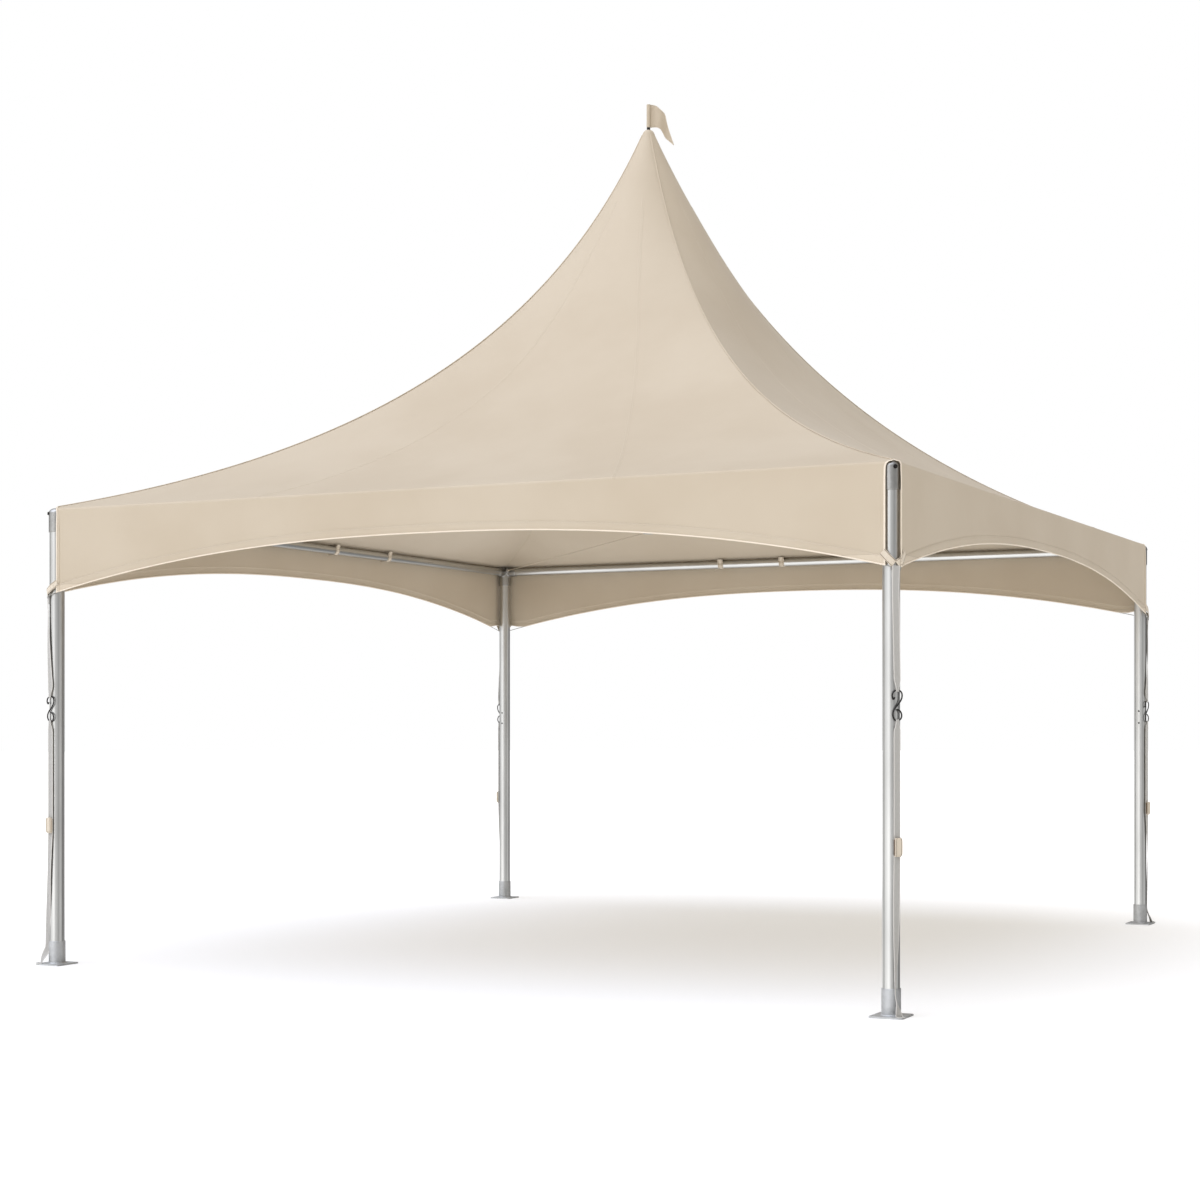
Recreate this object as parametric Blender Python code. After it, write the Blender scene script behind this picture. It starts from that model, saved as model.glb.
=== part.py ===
"""Pagoda tent: a square aluminium eave frame on four legs under a tensioned high-peak canopy.

Units are metres and +Z is up. The origin is on the ground below the peak. +X runs along the
front side from left to right, and +Y runs from the front side to the back.
"""

import math

import bmesh
import bpy
from mathutils import Matrix, Vector

# Plan and main heights
BAY = 4.572  # leg axis to leg axis, fifteen feet
HALF_BAY = BAY / 2
EAVE_HEIGHT = 2.355  # fold between the roof and the valances
TIP_HEIGHT = 4.600  # top ring of the roof fabric
PEAK_HEIGHT = 4.636  # crown of the peak cap

# Clearance that lets pieces be put together
GAP = 0.0003
PLUG_CLEARANCE = 0.001  # round the plug of the peak cap, inside the roof's tip ring

# Facets steeper than this to each other meet in a sharp edge
SHARP_ANGLE = math.radians(35)

# Tubes
LEG_DIAMETER = 0.076
RAIL_DIAMETER = 0.0508
RAIL_HEIGHT = 2.331
POLE_DIAMETER = 0.0508
TUBE_SIDES = 32

# Base plates with their leg sockets
PLATE_SIDE = 0.152
PLATE_THICKNESS = 0.008
PLATE_CORNER = 0.004
BASE_SOCKET_DIAMETER = 0.084
BASE_SOCKET_TOP = 0.122

# Corner fittings: a cup on the leg and a socket for each rail
CUP_DIAMETER = 0.084
CUP_BOTTOM = 2.236
CUP_TOP = 2.362
CUP_SHOULDER = 0.022
DOME_STEPS = 4
LEG_TOP = 2.298
RAIL_SOCKET_DIAMETER = 0.0586
RAIL_SOCKET_REACH = 0.096
RAIL_SETBACK = 0.060  # leg axis to the end of a rail
LUG_REACH = 0.078
LUG_WIDTH = 0.016
LUG_BOTTOM = 2.328
LUG_TOP = 2.360

# Mast on two crossing cables
CABLE_DIAMETER = 0.006
UPPER_CABLE_HEIGHT = 2.351
LOWER_CABLE_HEIGHT = 2.340
FOOT_DIAMETER = 0.066
FOOT_BOTTOM = 2.330
FOOT_SEAT = 2.362
FOOT_TOP = 2.420
CABLE_SIDES = 12

# Canopy fabric
FABRIC = 0.006  # thickness of the canopy solids
STANDOFF = CUP_DIAMETER / 2 + GAP  # leg axis plane to the inner face of a valance
EAVE_HALF = HALF_BAY + STANDOFF + FABRIC
TIP_RADIUS = 0.038
HIP_EAVE_SLOPE = math.radians(16)  # seen square on
HIP_EAVE_PULL = 1.10  # how far the eave slope carries into the curve
HIP_TIP_SLOPE = math.radians(72)
HIP_TIP_PULL = 1.37
ROUND_FROM = 3.00  # height above which the square section turns round
ROOF_ROWS = 20
ROOF_COLUMNS = 10
NOTCH_RADIUS = 0.0445  # opening round the dome of each corner fitting
NOTCH_STEPS = 18

# Valances: an arched hem between corner tabs
HEM_CORNER_HEIGHT = 1.916
HEM_APEX_HEIGHT = 2.145
HEM_ARCH_POWER = 2.32
HEM_SEGMENTS = 28
TAB_SIDE = 0.031
TAB_DROP = 0.057

# Peak cap, flagpole and pennant
CAP_PLUG_BOTTOM = 4.560
CROWN_STEPS = 7
FLAGPOLE_DIAMETER = 0.014
FLAG_TOP = 4.780
FLAG_HOIST = 0.130
SLEEVE_DIAMETER = 0.023
FLAG_THICKNESS = 0.004
FLAG_HEADING = math.radians(25)

# Corner tie-downs: strap, hook, strap
STRAP_WIDTH = 0.035
STRAP_THICKNESS = 0.003
STRAP_RADIUS = 0.0440  # leg axis to the middle of the strap
STRAP_TOP = 1.905
STRAP_TOP_RADIUS = 0.0505
STRAP_TOP_RUN = 0.10
HOOK_HEIGHT = 1.3235
HOOK_WIRE = 0.007
HOOK_SIDES = 6
HOOK_STEPS = 40
TAIL_BOTTOM = 0.690  # folded end of the lower strap
TAIL_TOP = 0.775
TAIL_THICKNESS = 0.018
TAIL_SHOULDER = 0.006
FLARE_TOP = 0.105
ANCHOR_RADIUS = 0.080
SWING_TOP = 1.450  # below this and above the tail the strap has its full swing
SWING_BOTTOM = 0.140
TWIST_STEPS = 8
STRAP_SWING = {  # how far each strap and hook has slid round its leg, off the diagonal
    "front_left": math.radians(38),
    "front_right": 0,
    "back_right": math.radians(-57),
    "back_left": math.radians(40),
}

CORNERS = {  # name: direction from the centre to the leg
    "front_left": (-1, -1),
    "front_right": (1, -1),
    "back_right": (1, 1),
    "back_left": (-1, 1),
}
SIDES = ("front", "right", "back", "left")  # each one a quarter turn after the last


def clear_scene():
    for item in list(bpy.data.objects):
        bpy.data.objects.remove(item, do_unlink=True)


def finish(name, colour, roughness, metallic):
    material = bpy.data.materials.new(name)
    material.use_nodes = True
    shader = material.node_tree.nodes["Principled BSDF"]
    shader.inputs["Base Color"].default_value = (*colour, 1)
    shader.inputs["Roughness"].default_value = roughness
    shader.inputs["Metallic"].default_value = metallic
    return material


def place(name, mesh, material=None, matrix=None):
    """Adds a named object that holds the mesh, at the given place."""
    item = bpy.data.objects.new(name, mesh)
    bpy.context.scene.collection.objects.link(item)
    if material is not None and not mesh.materials:
        mesh.materials.append(material)
    if matrix is not None:
        item.matrix_world = matrix
    return item


def shade(mesh):
    """Round faces are shaded smooth, and edges stay sharp."""
    mesh.shade_smooth()
    mesh.set_sharp_from_angle(angle=SHARP_ANGLE)


def mesh_from(shape, name):
    """Turns a bmesh into a mesh with its faces pointing out."""
    bmesh.ops.recalc_face_normals(shape, faces=shape.faces)
    mesh = bpy.data.meshes.new(name)
    shape.to_mesh(mesh)
    shape.free()
    shade(mesh)
    return mesh


def turned(profile, sides):
    """A solid turned round Z from (radius, height) points that start and end on the axis."""
    shape = bmesh.new()
    rings = []
    for radius, height in profile:
        if radius == 0:
            rings.append([shape.verts.new((0, 0, height))])
            continue
        angles = [2 * math.pi * step / sides for step in range(sides)]
        rings.append([shape.verts.new(radius * Vector((math.cos(a), math.sin(a), 0))) for a in angles])
        for corner in rings[-1]:
            corner.co.z = height
    for lower, upper in zip(rings, rings[1:]):
        for step in range(sides):
            after = (step + 1) % sides
            if len(lower) == 1:
                shape.faces.new((lower[0], upper[step], upper[after]))
            elif len(upper) == 1:
                shape.faces.new((lower[step], lower[after], upper[0]))
            else:
                shape.faces.new((lower[step], lower[after], upper[after], upper[step]))
    return shape


def rod(diameter, start, end, sides=TUBE_SIDES):
    """A round bar between two points."""
    start, end = Vector(start), Vector(end)
    radius = diameter / 2
    length = (end - start).length
    shape = bmesh.new()
    sizes = {"segments": sides, "radius1": radius, "radius2": radius, "depth": length}
    bmesh.ops.create_cone(shape, cap_ends=True, **sizes)
    bmesh.ops.translate(shape, vec=(0, 0, length / 2), verts=shape.verts)
    turn = (end - start).to_track_quat("Z", "Y").to_matrix().to_4x4()
    bmesh.ops.transform(shape, matrix=Matrix.Translation(start) @ turn, verts=shape.verts)
    return shape


def block(low, high):
    """A box between its lowest and highest corners."""
    shape = bmesh.new()
    bmesh.ops.create_cube(shape, size=1)
    low, high = Vector(low), Vector(high)
    size = high - low
    scale = Matrix.Diagonal((size.x, size.y, size.z, 1))
    bmesh.ops.transform(shape, matrix=Matrix.Translation((low + high) / 2) @ scale, verts=shape.verts)
    return shape


def extruded(outline, depth):
    """A prism with its outline in X and Z and its depth centred on Y."""
    shape = bmesh.new()
    near = [shape.verts.new((x, -depth / 2, z)) for x, z in outline]
    far = [shape.verts.new((x, depth / 2, z)) for x, z in outline]
    shape.faces.new(near)
    shape.faces.new(reversed(far))
    for step in range(len(outline)):
        after = (step + 1) % len(outline)
        shape.faces.new((near[step], far[step], far[after], near[after]))
    return shape


def carved(name, base, joined=(), cut=()):
    """The base shape with other shapes joined to it and then cut from it."""
    body = place(name, mesh_from(base, name))
    tools = []
    for operation, shapes in (("UNION", joined), ("DIFFERENCE", cut)):
        for shape in shapes:
            tool = place(f"{name}_tool", mesh_from(shape, f"{name}_tool"))
            tool.hide_render = True
            tool.display_type = "WIRE"
            change = body.modifiers.new(operation, "BOOLEAN")
            change.operation = operation
            change.solver = "EXACT"
            change.object = tool
            tools.append(tool)
    bpy.context.view_layer.update()
    evaluated = body.evaluated_get(bpy.context.evaluated_depsgraph_get())
    mesh = bpy.data.meshes.new_from_object(evaluated)
    for item in [body, *tools]:
        bpy.data.objects.remove(item, do_unlink=True)
    mesh.materials.clear()
    shade(mesh)
    return mesh


def corner_matrix(direction):
    """Puts local -X-Y, the outward side of a corner piece, at the given leg."""
    turn = math.atan2(direction[1], direction[0]) - math.atan2(-1, -1)
    here = Matrix.Translation((direction[0] * HALF_BAY, direction[1] * HALF_BAY, 0))
    return here @ Matrix.Rotation(turn, 4, "Z")


def side_matrix(index):
    """Turns a piece of the front side to the side with this index."""
    return Matrix.Rotation(index * math.pi / 2, 4, "Z")


def outward_matrix(direction):
    """Puts local +X along the outward diagonal of a leg, with the leg's axis at the local origin."""
    here = Matrix.Translation((direction[0] * HALF_BAY, direction[1] * HALF_BAY, 0))
    return here @ Matrix.Rotation(math.atan2(direction[1], direction[0]), 4, "Z")


def add_legs(aluminium):
    mesh = mesh_from(rod(LEG_DIAMETER, (0, 0, PLATE_THICKNESS + GAP), (0, 0, LEG_TOP)), "leg")
    for corner, direction in CORNERS.items():
        place(f"leg_{corner}", mesh, aluminium, corner_matrix(direction))


def add_base_plates(steel):
    half = PLATE_SIDE / 2
    plate = block((-half, -half, 0), (half, half, PLATE_THICKNESS))
    uprights = [edge for edge in plate.edges if abs(edge.verts[0].co.z - edge.verts[1].co.z) > GAP]
    bmesh.ops.bevel(plate, geom=uprights, offset=PLATE_CORNER, segments=2, affect="EDGES")
    socket = rod(BASE_SOCKET_DIAMETER, (0, 0, PLATE_THICKNESS / 2), (0, 0, BASE_SOCKET_TOP))
    bore = rod(LEG_DIAMETER + 2 * GAP, (0, 0, PLATE_THICKNESS), (0, 0, BASE_SOCKET_TOP + PLATE_THICKNESS))
    mesh = carved("base_plate", plate, [socket], [bore])
    for corner, direction in CORNERS.items():
        place(f"base_plate_{corner}", mesh, steel, corner_matrix(direction))


def add_corner_fittings(cast):
    radius = CUP_DIAMETER / 2
    dome = []
    for step in range(DOME_STEPS + 1):
        angle = math.pi / 2 * step / DOME_STEPS
        inset = CUP_SHOULDER * (1 - math.cos(angle))
        dome.append((radius - inset, CUP_TOP - CUP_SHOULDER + CUP_SHOULDER * math.sin(angle)))
    cup = turned([(0, CUP_BOTTOM), (radius, CUP_BOTTOM), *dome, (0, CUP_TOP)], TUBE_SIDES)
    reach = (RAIL_SOCKET_REACH, 0, RAIL_HEIGHT)
    sockets = [
        rod(RAIL_SOCKET_DIAMETER, (0, 0, RAIL_HEIGHT), reach),
        rod(RAIL_SOCKET_DIAMETER, (0, 0, RAIL_HEIGHT), (0, RAIL_SOCKET_REACH, RAIL_HEIGHT)),
    ]
    lug = block((0, -LUG_WIDTH / 2, LUG_BOTTOM), (LUG_REACH, LUG_WIDTH / 2, LUG_TOP))
    bmesh.ops.rotate(lug, cent=(0, 0, 0), matrix=Matrix.Rotation(math.pi / 4, 3, "Z"), verts=lug.verts)
    bore_from = RAIL_SETBACK - GAP
    bore_to = RAIL_SOCKET_REACH + RAIL_SETBACK
    rail_bore = RAIL_DIAMETER + 2 * GAP
    bores = [
        rod(LEG_DIAMETER + 2 * GAP, (0, 0, CUP_BOTTOM - RAIL_SETBACK), (0, 0, LEG_TOP + GAP)),
        rod(rail_bore, (bore_from, 0, RAIL_HEIGHT), (bore_to, 0, RAIL_HEIGHT)),
        rod(rail_bore, (0, bore_from, RAIL_HEIGHT), (0, bore_to, RAIL_HEIGHT)),
    ]
    mesh = carved("corner_fitting", cup, [*sockets, lug], bores)
    for corner, direction in CORNERS.items():
        place(f"corner_fitting_{corner}", mesh, cast, corner_matrix(direction))


def add_eave_rails(aluminium):
    end = HALF_BAY - RAIL_SETBACK
    start = (-end, -HALF_BAY, RAIL_HEIGHT)
    mesh = mesh_from(rod(RAIL_DIAMETER, start, (end, -HALF_BAY, RAIL_HEIGHT)), "eave_rail")
    for index, side in enumerate(SIDES):
        place(f"eave_rail_{side}", mesh, aluminium, side_matrix(index))


def add_mast(aluminium, cast, wire):
    pole = rod(POLE_DIAMETER, (0, 0, FOOT_SEAT + GAP), (0, 0, CAP_PLUG_BOTTOM - GAP))
    place("king_pole", mesh_from(pole, "king_pole"), aluminium)
    reach = HALF_BAY * math.sqrt(2) - LUG_REACH - GAP
    foot = rod(FOOT_DIAMETER, (0, 0, FOOT_BOTTOM), (0, 0, FOOT_TOP))
    bores = [rod(POLE_DIAMETER + 2 * GAP, (0, 0, FOOT_SEAT), (0, 0, FOOT_TOP + FOOT_DIAMETER))]
    for number, (height, slant) in enumerate(((UPPER_CABLE_HEIGHT, 1), (LOWER_CABLE_HEIGHT, -1)), 1):
        along = Vector((1, slant, 0)).normalized()
        lift = Vector((0, 0, height))
        cable = rod(CABLE_DIAMETER, lift - reach * along, lift + reach * along, CABLE_SIDES)
        place(f"cross_cable_{number}", mesh_from(cable, "cross_cable"), wire)
        bore_end = FOOT_DIAMETER * along
        bores.append(rod(CABLE_DIAMETER + 2 * GAP, lift - bore_end, lift + bore_end, CABLE_SIDES))
    place("mast_foot", carved("mast_foot", foot, (), bores), cast)


def hip(fraction):
    """Half width and height of the roof's hip, from the eave (0) to the tip ring (1)."""
    eave = Vector((EAVE_HALF, EAVE_HEIGHT))
    tip = Vector((TIP_RADIUS / math.sqrt(2), TIP_HEIGHT))
    eave_pull = eave + HIP_EAVE_PULL * Vector((-math.cos(HIP_EAVE_SLOPE), math.sin(HIP_EAVE_SLOPE)))
    tip_pull = tip + HIP_TIP_PULL * Vector((math.cos(HIP_TIP_SLOPE), -math.sin(HIP_TIP_SLOPE)))
    rest = 1 - fraction
    return (
        rest**3 * eave
        + 3 * rest**2 * fraction * eave_pull
        + 3 * rest * fraction**2 * tip_pull
        + fraction**3 * tip
    )


def hip_slope(fraction):
    """Angle of the hip's curve to the level, seen square on."""
    step = 0.001
    before = hip(max(fraction - step, 0))
    after = hip(min(fraction + step, 1))
    return math.atan2(after.y - before.y, before.x - after.x)


def roof_points(fraction, across):
    """Outer and inner points of the front roof panel; across runs from -1 to 1 between the hips."""
    half, height = hip(fraction)
    rise = min(max((height - ROUND_FROM) / (TIP_HEIGHT - ROUND_FROM), 0), 1)
    roundness = rise**2 * (3 - 2 * rise)
    level = Vector((across * half, -half))
    bulge = across * math.pi / 4
    circle = half * math.sqrt(2) * Vector((math.sin(bulge), -math.cos(bulge)))
    outer = level.lerp(circle, roundness)
    slope = hip_slope(fraction)
    inner = outer * (1 - FABRIC * math.sin(slope) / outer.length)
    narrow = 1 - GAP / half
    return (
        (outer.x * narrow, outer.y, height),
        (inner.x * narrow, inner.y, height - FABRIC * math.cos(slope)),
    )


def roof_panel():
    """The front panel: a curved sheet between two hips, with a side wall all round."""
    shape = bmesh.new()
    layers = ([], [])
    places = [2 * column / ROOF_COLUMNS - 1 for column in range(ROOF_COLUMNS + 1)]
    for row in range(ROOF_ROWS + 1):
        pairs = [roof_points(row / ROOF_ROWS, across) for across in places]
        for layer, side in zip(layers, zip(*pairs)):
            layer.append([shape.verts.new(point) for point in side])
    for row in range(ROOF_ROWS):
        for column in range(ROOF_COLUMNS):
            for layer in layers:
                lower, upper = layer[row], layer[row + 1]
                shape.faces.new((lower[column], lower[column + 1], upper[column + 1], upper[column]))
    outer, inner = layers
    for row in (0, ROOF_ROWS):
        for column in range(ROOF_COLUMNS):
            after = column + 1
            shape.faces.new((outer[row][column], outer[row][after], inner[row][after], inner[row][column]))
    for end in (0, ROOF_COLUMNS):
        for row in range(ROOF_ROWS):
            after = row + 1
            shape.faces.new((outer[row][end], outer[after][end], inner[after][end], inner[row][end]))
    bmesh.ops.triangulate(shape, faces=shape.faces)
    return shape


def notch_cutter(sign):
    """Opens a roof corner round the dome of its fitting, and takes off the corner past it."""
    reach = CUP_DIAMETER
    plan = [(0, -reach), (reach, -reach), (reach, 0)]
    for step in range(NOTCH_STEPS + 1):
        angle = 1.5 * math.pi * step / NOTCH_STEPS
        plan.append((NOTCH_RADIUS * math.cos(angle), NOTCH_RADIUS * math.sin(angle)))
    shape = extruded([(sign * x, -y) for x, y in plan], 2 * reach)
    upright = Matrix.Rotation(math.pi / 2, 4, "X")
    here = Matrix.Translation((sign * HALF_BAY, -HALF_BAY, EAVE_HEIGHT))
    bmesh.ops.transform(shape, matrix=here @ upright, verts=shape.verts)
    return shape


def add_roof(fabric):
    mesh = carved("roof_panel", roof_panel(), (), [notch_cutter(-1), notch_cutter(1)])
    for index, side in enumerate(SIDES):
        place(f"roof_panel_{side}", mesh, fabric, side_matrix(index))


def hem_height(x):
    """Height of the arched hem at a distance along a side from its middle."""
    drop = HEM_APEX_HEIGHT - HEM_CORNER_HEIGHT
    return HEM_APEX_HEIGHT - drop * abs(x / HALF_BAY) ** HEM_ARCH_POWER


def add_valances(fabric):
    top = EAVE_HEIGHT - FABRIC - GAP
    slant = TAB_SIDE / math.sqrt(2)
    tab_top = HEM_CORNER_HEIGHT + TAB_DROP
    tab = [
        (HALF_BAY, tab_top),
        (HALF_BAY + TAB_SIDE, tab_top - TAB_SIDE),
        (HALF_BAY + TAB_SIDE - slant, tab_top - TAB_SIDE - slant),
    ]
    hem = []
    for step in range(HEM_SEGMENTS + 1):
        x = HALF_BAY * (1 - slant / HALF_BAY) * (1 - 2 * step / HEM_SEGMENTS)
        hem.append((x, hem_height(x)))
    mirrored_tab = [(-x, z) for x, z in reversed(tab)]
    outline = [(HALF_BAY, top), *tab, *hem, *mirrored_tab, (-HALF_BAY, top)]
    shape = extruded(outline, FABRIC)
    middle = -(HALF_BAY + STANDOFF + FABRIC / 2)
    bmesh.ops.translate(shape, vec=(0, middle, 0), verts=shape.verts)
    mesh = mesh_from(shape, "valance")
    for index, side in enumerate(SIDES):
        place(f"valance_{side}", mesh, fabric, side_matrix(index))


def add_peak(fabric, aluminium):
    plug_radius = TIP_RADIUS - FABRIC - PLUG_CLEARANCE
    rim = TIP_HEIGHT + GAP
    crown = []
    for step in range(CROWN_STEPS):
        angle = math.pi / 2 * step / CROWN_STEPS
        crown.append((TIP_RADIUS * math.cos(angle), rim + (PEAK_HEIGHT - rim) * math.sin(angle)))
    profile = [(0, CAP_PLUG_BOTTOM), (plug_radius, CAP_PLUG_BOTTOM), (plug_radius, rim), *crown]
    cap = turned([*profile, (0, PEAK_HEIGHT)], TUBE_SIDES)
    seat = PEAK_HEIGHT - FLAGPOLE_DIAMETER
    bore = rod(FLAGPOLE_DIAMETER + 2 * GAP, (0, 0, seat), (0, 0, FLAG_TOP), CABLE_SIDES)
    place("peak_cap", carved("peak_cap", cap, (), [bore]), fabric)
    pole = rod(FLAGPOLE_DIAMETER, (0, 0, seat + GAP), (0, 0, FLAG_TOP - GAP), CABLE_SIDES)
    place("flagpole", mesh_from(pole, "flagpole"), aluminium)


def add_pennant(fabric):
    """A short pennant on its sleeve; the fly drops away from the pole under its own weight."""
    root = SLEEVE_DIAMETER / 4
    outline = [  # distance from the pole, drop below the sleeve's top
        (root, 0),
        (0.040, 0.006),
        (0.063, 0.025),
        (0.092, 0.054),
        (0.102, 0.096),
        (0.113, 0.136),
        (0.144, 0.232),
        (0.132, 0.222),
        (0.096, 0.186),
        (0.076, 0.150),
        (0.063, 0.136),
        (0.040, 0.128),
        (root, FLAG_HOIST),
    ]
    fly = extruded([(x, FLAG_TOP - drop) for x, drop in reversed(outline)], FLAG_THICKNESS)
    bottom = FLAG_TOP - FLAG_HOIST - GAP
    sleeve = rod(SLEEVE_DIAMETER, (0, 0, bottom), (0, 0, FLAG_TOP), CABLE_SIDES)
    bore_diameter = FLAGPOLE_DIAMETER + 2 * GAP
    bore = rod(bore_diameter, (0, 0, bottom - GAP), (0, 0, FLAG_TOP + GAP), CABLE_SIDES)
    mesh = carved("flag", sleeve, [fly], [bore])
    place("flag", mesh, fabric, Matrix.Rotation(FLAG_HEADING, 4, "Z"))


def hook_path():
    """Centre line of the eight-shaped hook, as across and height from its middle."""
    guide = [
        (-0.012, 0.033),
        (-0.018, 0.025),
        (-0.0245, 0.037),
        (-0.021, 0.052),
        (-0.007, 0.0625),
        (0.010, 0.0625),
        (0.023, 0.053),
        (0.0255, 0.037),
        (0.019, 0.020),
        (0.004, 0.002),
        (-0.011, -0.014),
        (-0.020, -0.031),
        (-0.0195, -0.049),
        (-0.009, -0.063),
        (0.007, -0.065),
        (0.020, -0.056),
        (0.0235, -0.041),
        (0.016, -0.026),
        (0.001, -0.018),
    ]
    points = []
    for step in range(HOOK_STEPS + 1):
        place_along = step / HOOK_STEPS * (len(guide) - 1)
        index = min(int(place_along), len(guide) - 2)
        share = place_along - index
        before = Vector(guide[max(index - 1, 0)])
        start, end = Vector(guide[index]), Vector(guide[index + 1])
        after = Vector(guide[min(index + 2, len(guide) - 1)])
        bend = 2 * start + share * (end - before)
        bend += share**2 * (2 * before - 5 * start + 4 * end - after)
        bend += share**3 * (3 * start - before - 3 * end + after)
        points.append(bend / 2)
    return points


def add_hooks(steel):
    """Round wire bent along the hook's centre line, flat against the strap."""
    path = hook_path()
    shape = bmesh.new()
    radius = HOOK_WIRE / 2
    rings = []
    for step, point in enumerate(path):
        ahead = path[min(step + 1, HOOK_STEPS)] - path[max(step - 1, 0)]
        side = Vector((0, -ahead.y, ahead.x)).normalized()
        centre = Vector((STRAP_RADIUS, point.x, HOOK_HEIGHT + point.y))
        ring = []
        for turn in range(HOOK_SIDES):
            angle = 2 * math.pi * turn / HOOK_SIDES
            offset = radius * (math.cos(angle) * side + math.sin(angle) * Vector((1, 0, 0)))
            ring.append(shape.verts.new(centre + offset))
        rings.append(ring)
    for ring, following in zip(rings, rings[1:]):
        for turn in range(HOOK_SIDES):
            after = (turn + 1) % HOOK_SIDES
            shape.faces.new((ring[turn], ring[after], following[after], following[turn]))
    shape.faces.new(reversed(rings[0]))
    shape.faces.new(rings[-1])
    mesh = mesh_from(shape, "hook")
    for corner, direction in CORNERS.items():
        swing = Matrix.Rotation(STRAP_SWING[corner], 4, "Z")
        place(f"hook_{corner}", mesh, steel, outward_matrix(direction) @ swing)


def strap_swing(height, full):
    """Swing of the strap at a height: all of it between the tail and the hook, and none at its two ends."""
    highest = STRAP_TOP - STRAP_TOP_RUN
    from_top = (highest - height) / (highest - SWING_TOP)
    from_bottom = (height - SWING_BOTTOM) / (TAIL_BOTTOM - SWING_BOTTOM)
    return full * min(max(min(from_top, from_bottom), 0), 1)


def levels(low, high):
    """Heights from the high one down to the low one, close enough together for a smooth twist."""
    return [high + (low - high) * step / TWIST_STEPS for step in range(TWIST_STEPS + 1)]


def webbing_bar(sections, full_swing):
    """A closed flat bar through level sections, each with its height, inner radius and outer radius."""
    shape = bmesh.new()
    half = STRAP_WIDTH / 2
    rings = []
    for height, inner, outer in sections:
        swing = Matrix.Rotation(strap_swing(height, full_swing), 3, "Z")
        corners = ((inner, -half), (outer, -half), (outer, half), (inner, half))
        rings.append([shape.verts.new(swing @ Vector((x, y, height))) for x, y in corners])
    for upper, lower in zip(rings, rings[1:]):
        for step in range(4):
            after = (step + 1) % 4
            shape.faces.new((upper[step], lower[step], lower[after], upper[after]))
    shape.faces.new(rings[0])
    shape.faces.new(reversed(rings[-1]))
    bmesh.ops.triangulate(shape, faces=shape.faces)
    return shape


def add_straps(webbing):
    """Webbing on the outward side of each leg, from the canopy's corner to the base plate."""
    half = STRAP_THICKNESS / 2
    heights = [point.y for point in hook_path()]
    clear = HOOK_WIRE / 2 + GAP
    upper_foot = HOOK_HEIGHT + max(heights) + clear
    lower_top = HOOK_HEIGHT + min(heights) - clear
    face = STRAP_RADIUS + half
    back = STRAP_RADIUS - half
    tail = face + TAIL_THICKNESS
    upper = [
        (STRAP_TOP, STRAP_TOP_RADIUS - half, STRAP_TOP_RADIUS + half),
        *[(height, back, face) for height in levels(SWING_TOP, STRAP_TOP - STRAP_TOP_RUN)],
        (upper_foot, back, face),
    ]
    lower = [
        (lower_top, back, face),
        (TAIL_TOP + TAIL_SHOULDER, back, face),
        (TAIL_TOP, back, tail),
        (TAIL_BOTTOM, back, tail),
        *[(height, back, face) for height in levels(SWING_BOTTOM, TAIL_BOTTOM - TAIL_SHOULDER)],
        (FLARE_TOP, back, face),
        (PLATE_THICKNESS + GAP, ANCHOR_RADIUS - half, ANCHOR_RADIUS + half),
    ]
    for corner, direction in CORNERS.items():
        here = outward_matrix(direction)
        full_swing = STRAP_SWING[corner]
        for name, sections in (("upper_strap", upper), ("lower_strap", lower)):
            mesh = mesh_from(webbing_bar(sections, full_swing), name)
            place(f"{name}_{corner}", mesh, webbing, here)


def build():
    clear_scene()
    aluminium = finish("aluminium tube", (0.62, 0.62, 0.60), 0.35, 1.0)
    cast = finish("cast aluminium", (0.42, 0.42, 0.41), 0.45, 1.0)
    galvanised = finish("galvanised steel", (0.50, 0.50, 0.49), 0.50, 1.0)
    wire = finish("steel wire rope", (0.40, 0.40, 0.40), 0.45, 1.0)
    fabric = finish("coated canopy fabric", (0.70, 0.61, 0.48), 0.55, 0.0)
    webbing = finish("polyester webbing", (0.72, 0.70, 0.66), 0.80, 0.0)
    dark_steel = finish("dark steel wire", (0.06, 0.055, 0.05), 0.40, 1.0)
    add_legs(aluminium)
    add_base_plates(galvanised)
    add_corner_fittings(cast)
    add_eave_rails(aluminium)
    add_mast(aluminium, cast, wire)
    add_roof(fabric)
    add_valances(fabric)
    add_peak(fabric, aluminium)
    add_pennant(fabric)
    add_hooks(dark_steel)
    add_straps(webbing)


build()
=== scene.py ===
"""Looks of the pagoda tent: aluminium frame, tensioned canopy, tie-downs, studio floor and light."""

import math

import bmesh
import bpy
from mathutils import Matrix, Vector, noise


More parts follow.
